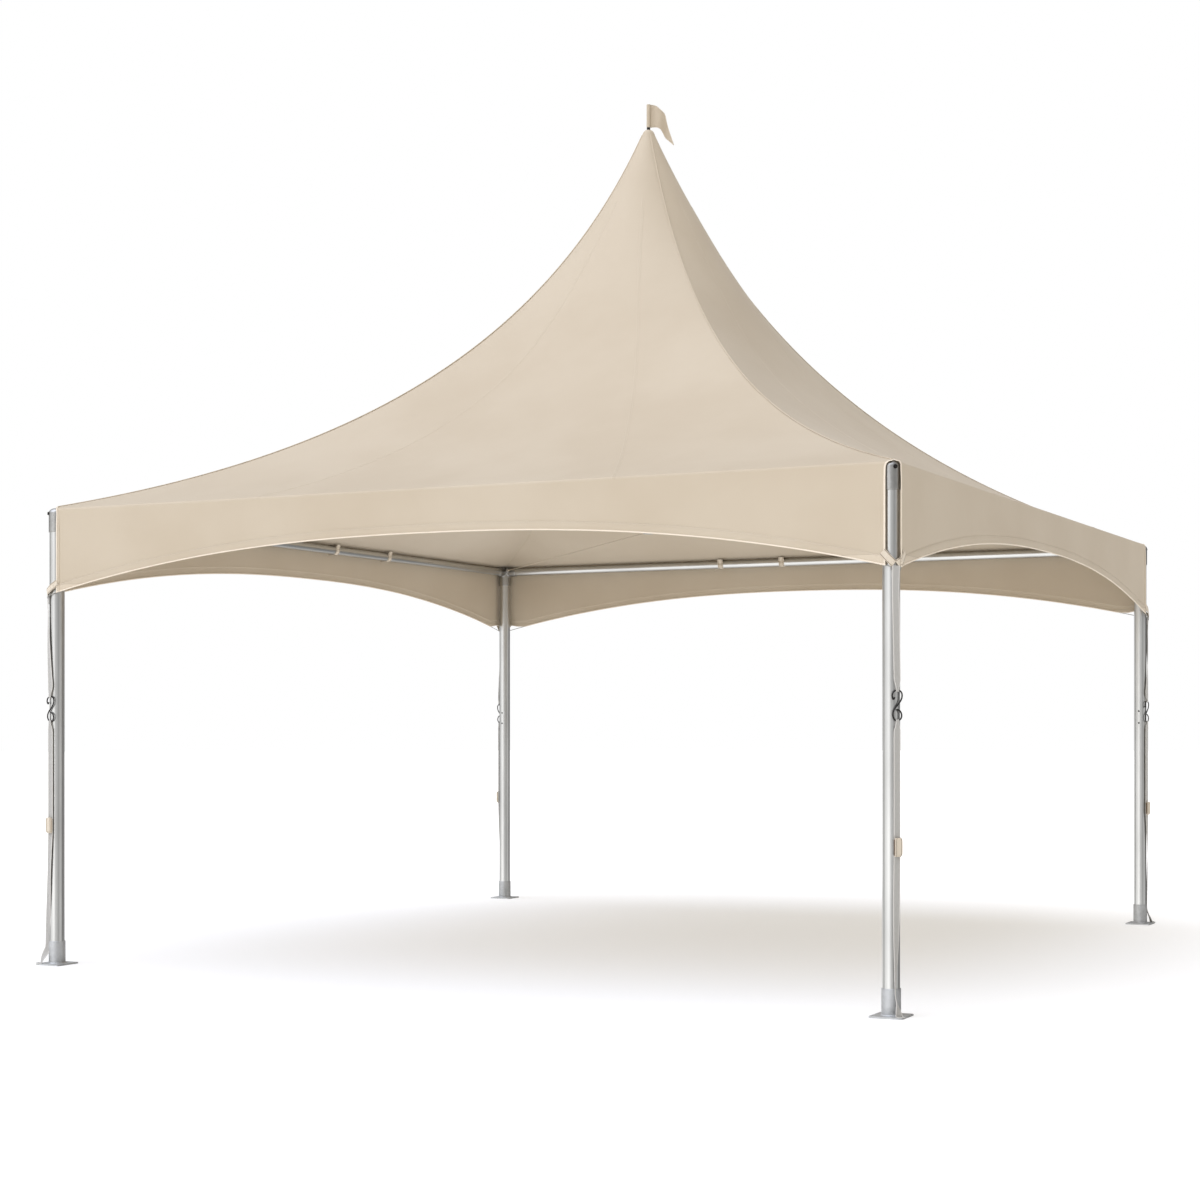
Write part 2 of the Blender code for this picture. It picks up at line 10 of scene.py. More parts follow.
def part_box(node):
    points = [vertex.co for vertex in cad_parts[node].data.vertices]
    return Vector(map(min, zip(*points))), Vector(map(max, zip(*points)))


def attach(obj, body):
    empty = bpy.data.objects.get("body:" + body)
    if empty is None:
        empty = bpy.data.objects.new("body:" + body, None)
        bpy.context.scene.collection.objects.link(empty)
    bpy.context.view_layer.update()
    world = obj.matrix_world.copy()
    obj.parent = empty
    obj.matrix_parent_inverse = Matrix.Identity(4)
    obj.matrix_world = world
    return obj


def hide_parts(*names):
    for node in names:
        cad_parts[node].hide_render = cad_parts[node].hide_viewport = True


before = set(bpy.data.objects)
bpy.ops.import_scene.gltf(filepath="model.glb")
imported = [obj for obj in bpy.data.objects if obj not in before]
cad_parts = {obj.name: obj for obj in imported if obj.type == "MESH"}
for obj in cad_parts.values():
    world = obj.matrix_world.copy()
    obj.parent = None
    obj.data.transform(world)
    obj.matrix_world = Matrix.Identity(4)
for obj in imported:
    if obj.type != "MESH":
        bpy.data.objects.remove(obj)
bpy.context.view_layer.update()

# Camera
# It stands level at chest height outside the front right corner, and looks a little to the left
# of the back edge. The view is shifted up and left, so that the uprights stay upright.
PHOTO_SIDE = 1200
FOCAL_PIXELS = 2084
LEVEL_PIXEL = (692.8, 725.0)  # where the camera's level axis meets the picture
CAMERA_PLACE = (5.2924, -10.6567, 1.2395)
CAMERA_HEADING = math.radians(25.194)

camera = bpy.data.objects.new("camera", bpy.data.cameras.new("camera"))
bpy.context.scene.collection.objects.link(camera)
camera.location = CAMERA_PLACE
camera.rotation_euler = (math.pi / 2, 0, CAMERA_HEADING)
camera.data.lens = FOCAL_PIXELS / PHOTO_SIDE * camera.data.sensor_width
camera.data.shift_x = 0.5 - LEVEL_PIXEL[0] / PHOTO_SIDE
camera.data.shift_y = LEVEL_PIXEL[1] / PHOTO_SIDE - 0.5
bpy.context.scene.camera = camera


class Signal:
    """One output of a node. Arithmetic on it adds Math nodes."""

    def __init__(self, owner, socket):
        self.owner = owner
        self.socket = socket

    def maths(self, operation, *others):
        return self.owner.node("Math", {"operation": operation}, [self, *others])

    def __add__(self, other):
        return self.maths("ADD", other)

    def __radd__(self, other):
        return self.maths("ADD", other)

    def __sub__(self, other):
        return self.maths("SUBTRACT", other)

    def __rsub__(self, other):
        return self.owner.node("Math", {"operation": "SUBTRACT"}, [other, self])

    def __mul__(self, other):
        return self.maths("MULTIPLY", other)

    def __rmul__(self, other):
        return self.maths("MULTIPLY", other)

    def between(self, low, high):
        """0 at the low value and 1 at the high one, with a smooth step between them."""
        sockets = {"Value": self, "From Min": low, "From Max": high}
        return self.owner.node("MapRange", {"interpolation_type": "SMOOTHSTEP"}, sockets)


class Nodes:
    """A shader tree under construction."""

    def __init__(self, tree):
        self.tree = tree

    def node(self, kind, settings=None, sockets=(), output=0):
        """Adds a node: its settings first, then the values or links of its sockets."""
        made = self.tree.nodes.new("ShaderNode" + kind)
        for name, value in (settings or {}).items():
            setattr(made, name, value)
        pairs = sockets.items() if isinstance(sockets, dict) else enumerate(sockets)
        for key, value in pairs:
            self.feed(made.inputs[key], value)
        return Signal(self, made.outputs[output])

    def feed(self, socket, value):
        if isinstance(value, Signal):
            self.tree.links.new(value.socket, socket)
        else:
            socket.default_value = value

    def blend(self, share, first, second):
        """A colour between two others."""
        return self.node("Mix", {"data_type": "RGBA"}, {0: share, 6: first, 7: second}, 2)

    def stretched(self, vector, scale):
        """Coordinates scaled on each axis."""
        return self.node("Mapping", None, {"Vector": vector, "Scale": scale})

    def grain(self, vector, scale, detail=2.0, roughness=0.5):
        sockets = {"Vector": vector, "Scale": scale, "Detail": detail, "Roughness": roughness}
        return self.node("TexNoise", None, sockets)


def paint(red, green, blue):
    """A colour as it is seen on a screen, as the linear values that a shader takes."""
    parts = []
    for part in (red, green, blue):
        share = part / 255
        parts.append(share / 12.92 if share <= 0.04045 else ((share + 0.055) / 1.055) ** 2.4)
    return (*parts, 1.0)


# Studio
# A pale floor and a white surround under one wide, soft key light from the front left. The floor
# can't be seen from below, so that the underside of the canopy can be, nor in the metal, which
# reflects tall strips of light instead.
FLOOR_RADIUS = 90.0
FLOOR_SIDES = 64
FLOOR_COLOUR = (0.54, 0.565, 0.61, 1)
FLOOR_GLOW_COLOUR = (1.0, 0.95, 0.865, 1)
FLOOR_GLOW = 0.42  # lifts the shadow, as a lit cove does
FLOOR_EDGE_GLOW = 0.42  # more of it clear of the tent
FLOOR_GLOW_NEAR = 2.0  # distances from the middle between which that grows
FLOOR_GLOW_FAR = 7.0
KEY_FROM = Vector((-0.30, -0.46, 0.84)).normalized()
KEY_STRENGTH = 2.15
KEY_WIDTH = math.radians(80)
KEY_COLOUR = (0.935, 1.005, 1.19)
ROOM_COLOUR = (1.0, 0.945, 0.865, 1)
ROOM_DIM = 0.22  # the room's least brightness
ROOM_LIGHTS = (  # direction, brightness, and the cosines where the light fades out and is full
    (Vector((-0.48, -0.87, 0.10)), 0.42, 0.15, 1.0),
    (Vector((0.36, 0.28, 0.89)), 0.38, 0.30, 1.0),
    (Vector((0.0, 0.0, 1.0)), 0.30, 0.0, 1.0),
)
MIRROR_DIM = 0.25  # the same for what the metal reflects: tall strips of light, side by side
MIRROR_ABOVE = 0.36  # share by which the strips are darker above the level
MIRROR_LEVEL = (-0.02, 0.10)  # sines of the heights between which they darken
MIRROR_LIGHTS = (
    (Vector((-0.57, -0.82, 0.0)), 1.08, 0.62, 0.86),
    (Vector((0.15, -0.99, 0.0)), 0.50, 0.62, 0.95),
    (Vector((0.80, -0.60, 0.0)), 0.22, 0.82, 0.97),
    (Vector((0.99, 0.09, 0.0)), 0.60, 0.90, 0.98),
    (Vector((-0.15, 0.99, 0.0)), 0.45, 0.85, 0.97),
    (Vector((-0.85, 0.52, 0.0)), 0.70, 0.80, 0.96),
)
BACKDROP = 1.0

bpy.context.scene.view_settings.view_transform = "Standard"

floor_shape = bmesh.new()
bmesh.ops.create_circle(floor_shape, cap_ends=True, segments=FLOOR_SIDES, radius=FLOOR_RADIUS)
floor_mesh = bpy.data.meshes.new("studio_floor")
floor_shape.to_mesh(floor_mesh)
floor_shape.free()
floor = bpy.data.objects.new("studio_floor", floor_mesh)
bpy.context.scene.collection.objects.link(floor)
floor_material = bpy.data.materials.new("studio floor")
floor_material.use_nodes = True
floor_nodes = Nodes(floor_material.node_tree)
floor_nodes.tree.nodes.remove(floor_nodes.tree.nodes["Principled BSDF"])
from_below = floor_nodes.node("NewGeometry", output="Backfacing")
matte = floor_nodes.node("BsdfDiffuse", None, {"Color": FLOOR_COLOUR})
mirrored_floor = floor_nodes.node("LightPath", output="Is Glossy Ray")
floor_spot = floor_nodes.node("TexCoord", output="Object")
from_middle = floor_nodes.node("VectorMath", {"operation": "LENGTH"}, [floor_spot], "Value")
glow_strength = FLOOR_GLOW + FLOOR_EDGE_GLOW * from_middle.between(FLOOR_GLOW_NEAR, FLOOR_GLOW_FAR)
glow = floor_nodes.node("Emission", None, {"Color": FLOOR_GLOW_COLOUR, "Strength": glow_strength})
lit_floor = floor_nodes.node("AddShader", None, [matte, glow])
clear = floor_nodes.node("BsdfTransparent")
unseen = from_below.maths("MAXIMUM", mirrored_floor)
floor_look = floor_nodes.node("MixShader", None, [unseen, lit_floor, clear])
floor_nodes.feed(floor_nodes.tree.nodes["Material Output"].inputs["Surface"], floor_look)
floor_mesh.materials.append(floor_material)

world = bpy.data.worlds.new("studio")
world.use_nodes = True
bpy.context.scene.world = world
room = Nodes(world.node_tree)
direction = room.node("TexCoord", output="Generated")


def brightness_along(axis, dim, lights):
    """The room's brightness along an axis: the least of it, and what each light adds."""
    total = dim
    for heading, brightness, fade, full in lights:
        sockets = [axis, heading.normalized()]
        facing = room.node("VectorMath", {"operation": "DOT_PRODUCT"}, sockets, "Value")
        total = total + brightness * facing.between(fade, full)
    return total


level = room.node("VectorMath", {"operation": "MULTIPLY"}, [direction, (1, 1, 0)])
level = room.node("VectorMath", {"operation": "NORMALIZE"}, [level])
room_light = brightness_along(direction, ROOM_DIM, ROOM_LIGHTS)
above = room.node("SeparateXYZ", None, [direction], "Z").between(*MIRROR_LEVEL)
mirror_light = brightness_along(level, MIRROR_DIM, MIRROR_LIGHTS) * (1 - MIRROR_ABOVE * above)
seen = room.node("LightPath", output="Is Camera Ray")
mirrored_room = room.node("LightPath", output="Is Glossy Ray")
unseen_light = room_light * (1 - mirrored_room) + mirror_light * mirrored_room
backdrop = world.node_tree.nodes["Background"].inputs
room.feed(backdrop["Strength"], unseen_light * (1 - seen) + BACKDROP * seen)
white_share = seen.maths("MAXIMUM", mirrored_room)
room.feed(backdrop["Color"], room.blend(white_share, ROOM_COLOUR, (1, 1, 1, 1)))

key_lamp = bpy.data.lights.new("key_light", "SUN")
key_lamp.energy = KEY_STRENGTH
key_lamp.color = KEY_COLOUR
key_lamp.angle = KEY_WIDTH
key_light = bpy.data.objects.new("key_light", key_lamp)
key_light.rotation_euler = KEY_FROM.to_track_quat("Z", "Y").to_euler()
bpy.context.scene.collection.objects.link(key_light)


# Base plates
# Each leg stands in a short steel tube welded to a square plate. The steel is hot-dip galvanised
# after welding, so zinc spangles cover the plate, the tube and the weld bead alike.
PLATE_THICKNESS = 0.008
PLATE_CORNER = 0.004
PLATE_EDGE = 0.0012
SOCKET_RADIUS = 0.042
SOCKET_WALL = 0.0037
SOCKET_SHOULDER = 0.0022
SOCKET_SUNK = 0.001  # into the plate
WELD_SIZE = 0.0050
WELD_BEADS = 34
WELD_BEAD_STEPS = 6
WELD_SWELL = 0.07  # of its size, at each bead
WELD_WANDER = 0.10  # of its size, at random
WELD_SECTION = ((-0.15, -0.1), (1.0, -0.1), (0.75, 0.35), (0.42, 0.72), (0.0, 1.0), (-0.15, 0.6))
ROUND = 48  # sides of a round piece
HAIR = 0.0004  # a gap, or the width of a broken edge, that is too small to see
CORNERS = {  # name: direction from the centre to the leg
    "front_left": (-1, -1),
    "front_right": (1, -1),
    "back_right": (1, 1),
    "back_left": (-1, 1),
}


class Finish(Nodes):
    """A material, with the values that stay the same all over it."""

    def __init__(self, name, constants):
        self.material = bpy.data.materials.new(name)
        self.material.use_nodes = True
        super().__init__(self.material.node_tree)
        self.shader = self.tree.nodes["Principled BSDF"]
        self.set(constants)

    def set(self, sockets):
        for name, value in sockets.items():
            self.feed(self.shader.inputs[name], value)

    def relief(self, height, depth):
        """Bumps as deep as the given distance in metres."""
        bump = self.node("Bump", None, {"Strength": 1.0, "Distance": depth, "Height": height})
        self.set({"Normal": bump})


def grained(name, constants, grain, colours, roughness, depth):
    """A material with one fine grain in its colour, its roughness and its surface."""
    finish = Finish(name, constants)
    tone = finish.grain(finish.node("TexCoord", output="Object"), *grain)
    low, more = roughness
    finish.set({"Base Color": finish.blend(tone, *colours), "Roughness": low + more * tone})
    finish.relief(tone, depth)
    return finish


def smooth(mesh, sharp=35):
    """Round faces are shaded smooth, and edges sharper than an angle stay sharp."""
    mesh.shade_smooth()
    mesh.set_sharp_from_angle(angle=math.radians(sharp))
    return mesh


def meshed(shape, name, sharp=35, outward=True):
    """A mesh from a bmesh, with its faces pointing out."""
    if outward:
        bmesh.ops.recalc_face_normals(shape, faces=shape.faces)
    mesh = bpy.data.meshes.new(name)
    shape.to_mesh(mesh)
    shape.free()
    return smooth(mesh, sharp)


def skin(name, rows, ring=True, loop=False, caps=True, charts=None, sharp=35):
    """A mesh over rows of points. Its UV map is in metres, along a row and from row to row."""
    count = len(rows[0])
    columns = count if ring else count - 1
    bands = len(rows) if loop else len(rows) - 1
    shape = bmesh.new()
    chart = shape.loops.layers.uv.new("UVMap")
    corners = [[shape.verts.new(point) for point in row] for row in rows]
    down = [0.0]
    for band in range(bands):
        down.append(down[-1] + (corners[(band + 1) % len(rows)][0].co - corners[band][0].co).length)
    marks = []
    for row in corners:
        marks.append([0.0])
        for column in range(columns):
            marks[-1].append(marks[-1][-1] + (row[(column + 1) % count].co - row[column].co).length)
    for band in range(bands):
        below = (band + 1) % len(rows)
        for column in range(columns):
            after = (column + 1) % count
            upper, lower = corners[band], corners[below]
            face = shape.faces.new((upper[column], upper[after], lower[after], lower[column]))
            spots = ((band, column), (band, column + 1), (band + 1, column + 1), (band + 1, column))
            for corner, (row, place) in zip(face.loops, spots):
                if charts:
                    corner[chart].uv = charts[row][place]
                else:
                    corner[chart].uv = (marks[row % len(rows)][place], down[row])
    if ring and caps and not loop:
        for row in (corners[0], corners[-1]):
            face = shape.faces.new(row)
            for corner in face.loops:
                corner[chart].uv = corner.vert.co.xy
    return meshed(shape, name, sharp, outward=ring)


def turned(name, profile, sides=ROUND, loop=False, sharp=35):
    """A piece turned round Z from (radius, height) points. A loop of points leaves it hollow."""
    rows = []
    for radius, height in profile:
        angles = [2 * math.pi * step / sides for step in range(sides)]
        rows.append([Vector((radius * math.cos(a), radius * math.sin(a), height)) for a in angles])
    return skin(name, rows, loop=loop, sharp=sharp)


def rounding(radius, top, reach, tall, steps):
    """Profile of a rounded edge, a quarter of an ellipse, from the side up to the top."""
    points = []
    for step in range(steps + 1):
        angle = math.pi / 2 * step / steps
        points.append((radius - reach * (1 - math.cos(angle)), top - tall * (1 - math.sin(angle))))
    return points


def joined(name, meshes, merge=None, sharp=35):
    """One mesh from several, each of which may be given with its place."""
    shape = bmesh.new()
    for part in meshes:
        mesh, place = part if isinstance(part, tuple) else (part, None)
        before = len(shape.verts)
        shape.from_mesh(mesh)
        if place is not None:
            bmesh.ops.transform(shape, matrix=place, verts=shape.verts[before:])
    if merge:
        bmesh.ops.remove_doubles(shape, verts=shape.verts, dist=merge)
    return meshed(shape, name, sharp, outward=False)


def put(name, mesh, finish, replaced=()):
    """Adds a finished piece to the tent. It stands for the plain solids that it replaces."""
    piece = bpy.data.objects.new(name, mesh)
    bpy.context.scene.collection.objects.link(piece)
    mesh.materials.clear()
    mesh.materials.append(finish.material)
    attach(piece, "root")
    if replaced:
        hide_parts(*replaced)
    return piece


def put_joined(name, meshes, finish):
    """Adds one finished piece made of several meshes, each of which may be given with its place."""
    return put(name, joined(name, meshes), finish)


def leg_axis(corner):
    """Where a leg's axis meets the ground."""
    low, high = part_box(f"leg_{corner}")
    return Vector(((low.x + high.x) / 2, (low.y + high.y) / 2, 0))


def corner_place(corner):
    """Puts a piece made for the front left leg, outward side to -X-Y, at a leg."""
    x, y = CORNERS[corner]
    turn = math.atan2(y, x) - math.atan2(-1, -1)
    return Matrix.Translation(leg_axis(corner)) @ Matrix.Rotation(turn, 4, "Z")


def at(mesh, place):
    """A copy of a mesh, put in its place."""
    copy = mesh.copy()
    copy.transform(place)
    return copy


galvanised = Finish("galvanised steel", {"Metallic": 0.55})
steel_spot = galvanised.node("TexCoord", output="Object")
spangle = galvanised.node("TexVoronoi", None, {"Vector": steel_spot, "Scale": 95.0}, "Color")
spangle_tone = galvanised.node("SeparateColor", None, [spangle], "Red")
dull = galvanised.grain(steel_spot, 14.0, 4.0)
steel_colour = galvanised.blend(dull.between(0.35, 0.7), paint(186, 187, 187), paint(166, 167, 167))
steel_bright = galvanised.blend(spangle_tone * 0.35, steel_colour, paint(204, 205, 204))
galvanised.set({"Base Color": steel_bright, "Roughness": 0.40 + 0.12 * dull + 0.08 * spangle_tone})
galvanised.relief(galvanised.grain(steel_spot, 420.0, 3.0), 0.0003)

plate_low, plate_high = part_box("base_plate_front_left")
plate_side = plate_high.x - plate_low.x
socket_bore = SOCKET_RADIUS - SOCKET_WALL
socket_top = plate_high.z

plate = bmesh.new()
bmesh.ops.create_cube(plate, size=1)
lift = Matrix.Translation((0, 0, PLATE_THICKNESS / 2))
plate_form = lift @ Matrix.Diagonal((plate_side, plate_side, PLATE_THICKNESS, 1))
bmesh.ops.transform(plate, matrix=plate_form, verts=plate.verts)
uprights = [edge for edge in plate.edges if abs(edge.verts[0].co.z - edge.verts[1].co.z) > PLATE_EDGE]
bmesh.ops.bevel(plate, geom=uprights, offset=PLATE_CORNER, segments=4, affect="EDGES")
rims = [edge for edge in plate.edges if edge.calc_face_angle(0) > math.radians(60)]
bmesh.ops.bevel(plate, geom=rims, offset=PLATE_EDGE, segments=2, affect="EDGES")
plate_mesh = meshed(plate, "plate")

socket_profile = [
    (socket_bore, PLATE_THICKNESS - SOCKET_SUNK),
    (SOCKET_RADIUS, PLATE_THICKNESS - SOCKET_SUNK),
    *rounding(SOCKET_RADIUS, socket_top, SOCKET_SHOULDER, SOCKET_SHOULDER, 4),
    (socket_bore + HAIR, socket_top),
    (socket_bore, socket_top - HAIR),
]
socket_mesh = turned("socket", socket_profile, loop=True)

weld_rows = []
weld_steps = WELD_BEADS * WELD_BEAD_STEPS
for step in range(weld_steps):
    angle = 2 * math.pi * step / weld_steps
    aim = Vector((math.cos(angle), math.sin(angle), 0))
    wander = WELD_WANDER * noise.noise(8 * aim)
    size = WELD_SIZE * (1 + WELD_SWELL * math.sin(angle * WELD_BEADS) + wander)
    ring = []
    for across, height in WELD_SECTION:
        rise = Vector((0, 0, PLATE_THICKNESS + height * size))
        ring.append((SOCKET_RADIUS + across * size) * aim + rise)
    weld_rows.append(ring)
weld_mesh = skin("weld", weld_rows, loop=True, sharp=60)
base_mesh = joined("welded_base", [plate_mesh, socket_mesh, weld_mesh])
for corner in CORNERS:
    mesh = at(base_mesh, corner_place(corner))
    put(f"welded_base_{corner}", mesh, galvanised, [f"base_plate_{corner}"])


# Legs
# Drawn aluminium tubes, three millimetres in the wall, with fine die lines along their length.
# Each leg stands in its base and carries a corner fitting; small dark pins lock its two lengths.
LEG_WALL = 0.003
TUBE_CHAMFER = 0.0006
PIN_HEIGHTS = (1.252, 1.326)
PIN_RADIUS = 0.0055
PIN_PROUD = 0.003

aluminium = Finish("drawn aluminium", {"Metallic": 1.0})
along_tube = aluminium.node("UVMap")
die_lines = aluminium.grain(aluminium.stretched(along_tube, (1500.0, 1.2, 1.0)), 1.0, 2.0)
handling = aluminium.grain(aluminium.stretched(along_tube, (9.0, 2.2, 1.0)), 1.0, 5.0)
tube_colour = aluminium.blend(handling.between(0.3, 0.75), paint(206, 206, 204), paint(192, 192, 190))
aluminium.set({"Base Color": tube_colour, "Roughness": 0.20 + 0.10 * die_lines + 0.10 * handling})
aluminium.relief(die_lines, 0.00006)


def hollow(outer, wall, low, high):
    """Profile of an open tube with broken edges."""
    inner = outer - wall
    edge = TUBE_CHAMFER
    return [
        (outer - edge, low),
        (outer, low + edge),
        (outer, high - edge),
        (outer - edge, high),
        (inner + edge, high),
        (inner, high - edge),
        (inner, low + edge),
        (inner + edge, low),
    ]


leg_low, leg_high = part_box("leg_front_left")
leg_radius = (leg_high.x - leg_low.x) / 2
leg_mesh = turned("leg_tube", hollow(leg_radius, LEG_WALL, leg_low.z, leg_high.z))
for corner in CORNERS:
    mesh = at(leg_mesh, corner_place(corner))
    put(f"leg_tube_{corner}", mesh, aluminium, [f"leg_{corner}"])

dark_steel = Finish("dark steel", {"Metallic": 1.0})
dark_spot = dark_steel.node("TexCoord", output="Object")
scuffs = dark_steel.grain(dark_spot, 160.0, 4.0)
worn = scuffs.between(0.62, 0.72)
dark_steel.set({"Base Color": dark_steel.blend(worn, paint(56, 54, 53), paint(112, 109, 105))})
dark_steel.set({"Roughness": 0.26 + 0.2 * scuffs})
dark_steel.relief(scuffs, 0.0001)

pin_profile = [
    (HAIR, PIN_PROUD),
    (PIN_RADIUS * 0.6, PIN_PROUD * 0.9),
    (PIN_RADIUS, PIN_PROUD * 0.3),
    (PIN_RADIUS, -PIN_PROUD),
]
pin_mesh = turned("pin", pin_profile, 16)
pins = []
for corner, (_, y) in CORNERS.items():
    for height in PIN_HEIGHTS:
        turn = Matrix.Rotation(math.pi / 2 * y, 4, "X")
        spot = leg_axis(corner) + Vector((0, -y * leg_radius, height))
        pins.append((pin_mesh, Matrix.Translation(spot) @ turn))
put_joined("leg_pins", pins, dark_steel)


# Corner fittings
# One aluminium casting at the top of each leg: a domed cup that takes the leg, two sockets that
# take the eave rails and a lug for the mast's cable, with soft fillets between them.
CUP_RADIUS = 0.042
DOME_REACH = 0.034  # the dome is an ellipse: its reach in from the side, and its height
DOME_TALL = 0.024
RAIL_HEIGHT = 2.331
RAIL_SOCKET_RADIUS = 0.0293
RAIL_SOCKET_REACH = 0.096
LUG_REACH = 0.078
LUG_WIDTH = 0.016
LUG_BOTTOM = 2.328
LUG_TOP = 2.360
LUG_TIP = 0.008  # length over which the lug narrows at its end
LUG_TIP_DROP = 0.006
CAST_GRAIN = 0.0024
CAST_SMOOTHING = 9
BORE_PLAY = 0.0005
BORE_REACH = 0.2  # how far the rails' cutters run out
BOLT_HEIGHT = 2.334
BOLT_FLATS = 0.013
BOLT_HEAD = 0.0052
WASHER_RADIUS = 0.0095
WASHER_PROUD = 0.0012

cast = Finish("cast aluminium", {"Metallic": 1.0})
cast_spot = cast.node("TexCoord", output="Object")
sand = cast.grain(cast_spot, 700.0, 4.0, 0.6)
patches = cast.grain(cast_spot, 45.0, 4.0)
cast.set({"Base Color": cast.blend(patches, paint(150, 149, 146), paint(182, 181, 178))})
cast.set({"Roughness": 0.25 + 0.20 * sand})
cast.relief(sand, 0.0003)


def solid(mesh, name):
    """A hidden helper object that holds a mesh."""
    helper = bpy.data.objects.new(name, mesh)
    bpy.context.scene.collection.objects.link(helper)
    return helper


def shaped(name, mesh, changes, tools=()):
    """The mesh after its modifiers; the helper objects are removed."""
    body = solid(mesh, name)
    for kind, settings in changes:
        change = body.modifiers.new(kind, kind)
        for key, value in settings.items():
            setattr(change, key, value)
    evaluated = body.evaluated_get(bpy.context.evaluated_depsgraph_get())
    result = bpy.data.meshes.new_from_object(evaluated)
    for helper in (body, *tools):
        bpy.data.objects.remove(helper, do_unlink=True)
    return result


def laid(start, heading):
    """Turns a piece made along Z so that it runs from a point along a level heading."""
    return Matrix.Translation(start) @ Matrix.Rotation(heading, 4, "Z") @ Matrix.Rotation(math.pi / 2, 4, "Y")


cup_low, cup_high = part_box("corner_fitting_front_left")
cup_top = cup_high.z
dome = rounding(CUP_RADIUS, cup_top, DOME_REACH, DOME_TALL, 8)
cup = turned("cup", [(0.001, cup_low.z), (CUP_RADIUS, cup_low.z), *dome, (0.001, cup_top)], 64)
rail_socket = turned("rail_socket", [(RAIL_SOCKET_RADIUS, 0), (RAIL_SOCKET_RADIUS, RAIL_SOCKET_REACH)])
lug_rows = []
for reach in (0.0, LUG_REACH - LUG_TIP, LUG_REACH):
    drop = LUG_TIP_DROP if reach == LUG_REACH else 0.0
    half = LUG_WIDTH / 2
    low, high = LUG_BOTTOM + drop, LUG_TOP - drop
    lug_section = ((-half, low), (half, low), (half, high), (-half, high))
    lug_rows.append([Vector((reach, y, z)) for y, z in lug_section])
lug = skin("lug", lug_rows)
rail_start = Vector((0, 0, RAIL_HEIGHT))
fitting_parts = [
    cup,
    (rail_socket, laid(rail_start, 0)),
    (rail_socket, laid(rail_start, math.pi / 2)),
    (lug, Matrix.Rotation(math.pi / 4, 4, "Z")),
]
rough_fitting = joined("fitting", fitting_parts)
bore_radius = leg_radius + BORE_PLAY
front_low, front_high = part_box("eave_rail_front")
rail_radius = (front_high.z - front_low.z) / 2
rail_bore_radius = rail_radius + BORE_PLAY
rail_setback = leg_axis("front_right").x - front_high.x
leg_bore = turned("leg_bore", [(bore_radius, cup_low.z - 0.02), (bore_radius, leg_high.z + BORE_PLAY)], 64)
rail_bore = turned("rail_bore", [(rail_bore_radius, rail_setback), (rail_bore_radius, BORE_REACH)])
cutters = [solid(leg_bore, "leg_bore")]
for heading in (0, math.pi / 2):
    cutters.append(solid(at(rail_bore, laid(rail_start, heading)), "rail_bore"))
cast_changes = [
    ("REMESH", {"mode": "VOXEL", "voxel_size": CAST_GRAIN}),
    ("SMOOTH", {"factor": 0.5, "iterations": CAST_SMOOTHING}),
]
for cutter in cutters:
    cast_changes.append(("BOOLEAN", {"operation": "DIFFERENCE", "solver": "EXACT", "object": cutter}))
bpy.context.view_layer.update()
fitting_mesh = smooth(shaped("fitting", rough_fitting, cast_changes, cutters), 40)

hex_radius = BOLT_FLATS / math.sqrt(3)
head_profile = [
    (hex_radius, 0),
    (hex_radius, BOLT_HEAD * 0.85),
    (hex_radius * 0.82, BOLT_HEAD),
    (0.0005, BOLT_HEAD),
]
head = turned("bolt_head", head_profile, 6, sharp=20)
washer_profile = [(WASHER_RADIUS, -0.002), (WASHER_RADIUS, WASHER_PROUD), (0.0005, WASHER_PROUD)]
washer = turned("washer", washer_profile, 32)
bolt_mesh = joined("bolt", [(head, Matrix.Translation((0, 0, WASHER_PROUD))), washer])
corner_bolts = []
for corner in CORNERS:
    mesh = at(fitting_mesh, corner_place(corner))
    put(f"corner_casting_{corner}", mesh, cast, [f"corner_fitting_{corner}"])
    bolt_spot = Vector((0, 0, BOLT_HEIGHT)) - CUP_RADIUS * Vector((1, 1, 0)).normalized()
    corner_bolts.append((bolt_mesh, corner_place(corner) @ laid(bolt_spot, math.pi * 1.25)))
put_joined("corner_bolts", corner_bolts, dark_steel)


# Eave rails
# Drawn aluminium tubes like the legs, one to a side, pushed into the corner castings' sockets.
RAIL_WALL = 0.0025
SIDES = ("front", "right", "back", "left")  # each one a quarter turn after the last


def side_turn(side):
    """Turns what is made at the front to a side; sides are counted in the order of their names."""
    return Matrix.Rotation(side * math.pi / 2, 4, "Z")


rail_start = Vector((front_low.x, (front_low.y + front_high.y) / 2, (front_low.z + front_high.z) / 2))
rail_mesh = turned("rail_tube", hollow(rail_radius, RAIL_WALL, 0, front_high.x - front_low.x))
rail_mesh.transform(laid(rail_start, 0))
for side, name in enumerate(SIDES):
    mesh = at(rail_mesh, side_turn(side))
    put(f"rail_tube_{name}", mesh, aluminium, [f"eave_rail_{name}"])


# King pole, mast foot and cross cables
# The pole pushes the peak up. It stands in a turned foot, which hangs on two wire ropes that
# cross below it from corner to corner; each rope ends in a pressed sleeve at a casting's lug.
POLE_WALL = 0.0025
ROPE_LAY = 0.045
ROPE_STEP = 0.006
ROPE_LOBES = 6
SLEEVE_LENGTH = 0.045
SLEEVE_RADIUS = 0.0062
FOOT_COLLAR = 0.0045  # how far the foot's collar stands out round the pole

pole_low, pole_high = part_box("king_pole")
pole_mesh = turned("king_pole_tube", hollow(pole_high.x, POLE_WALL, pole_low.z, pole_high.z))
put("king_pole_tube", pole_mesh, aluminium, ["king_pole"])

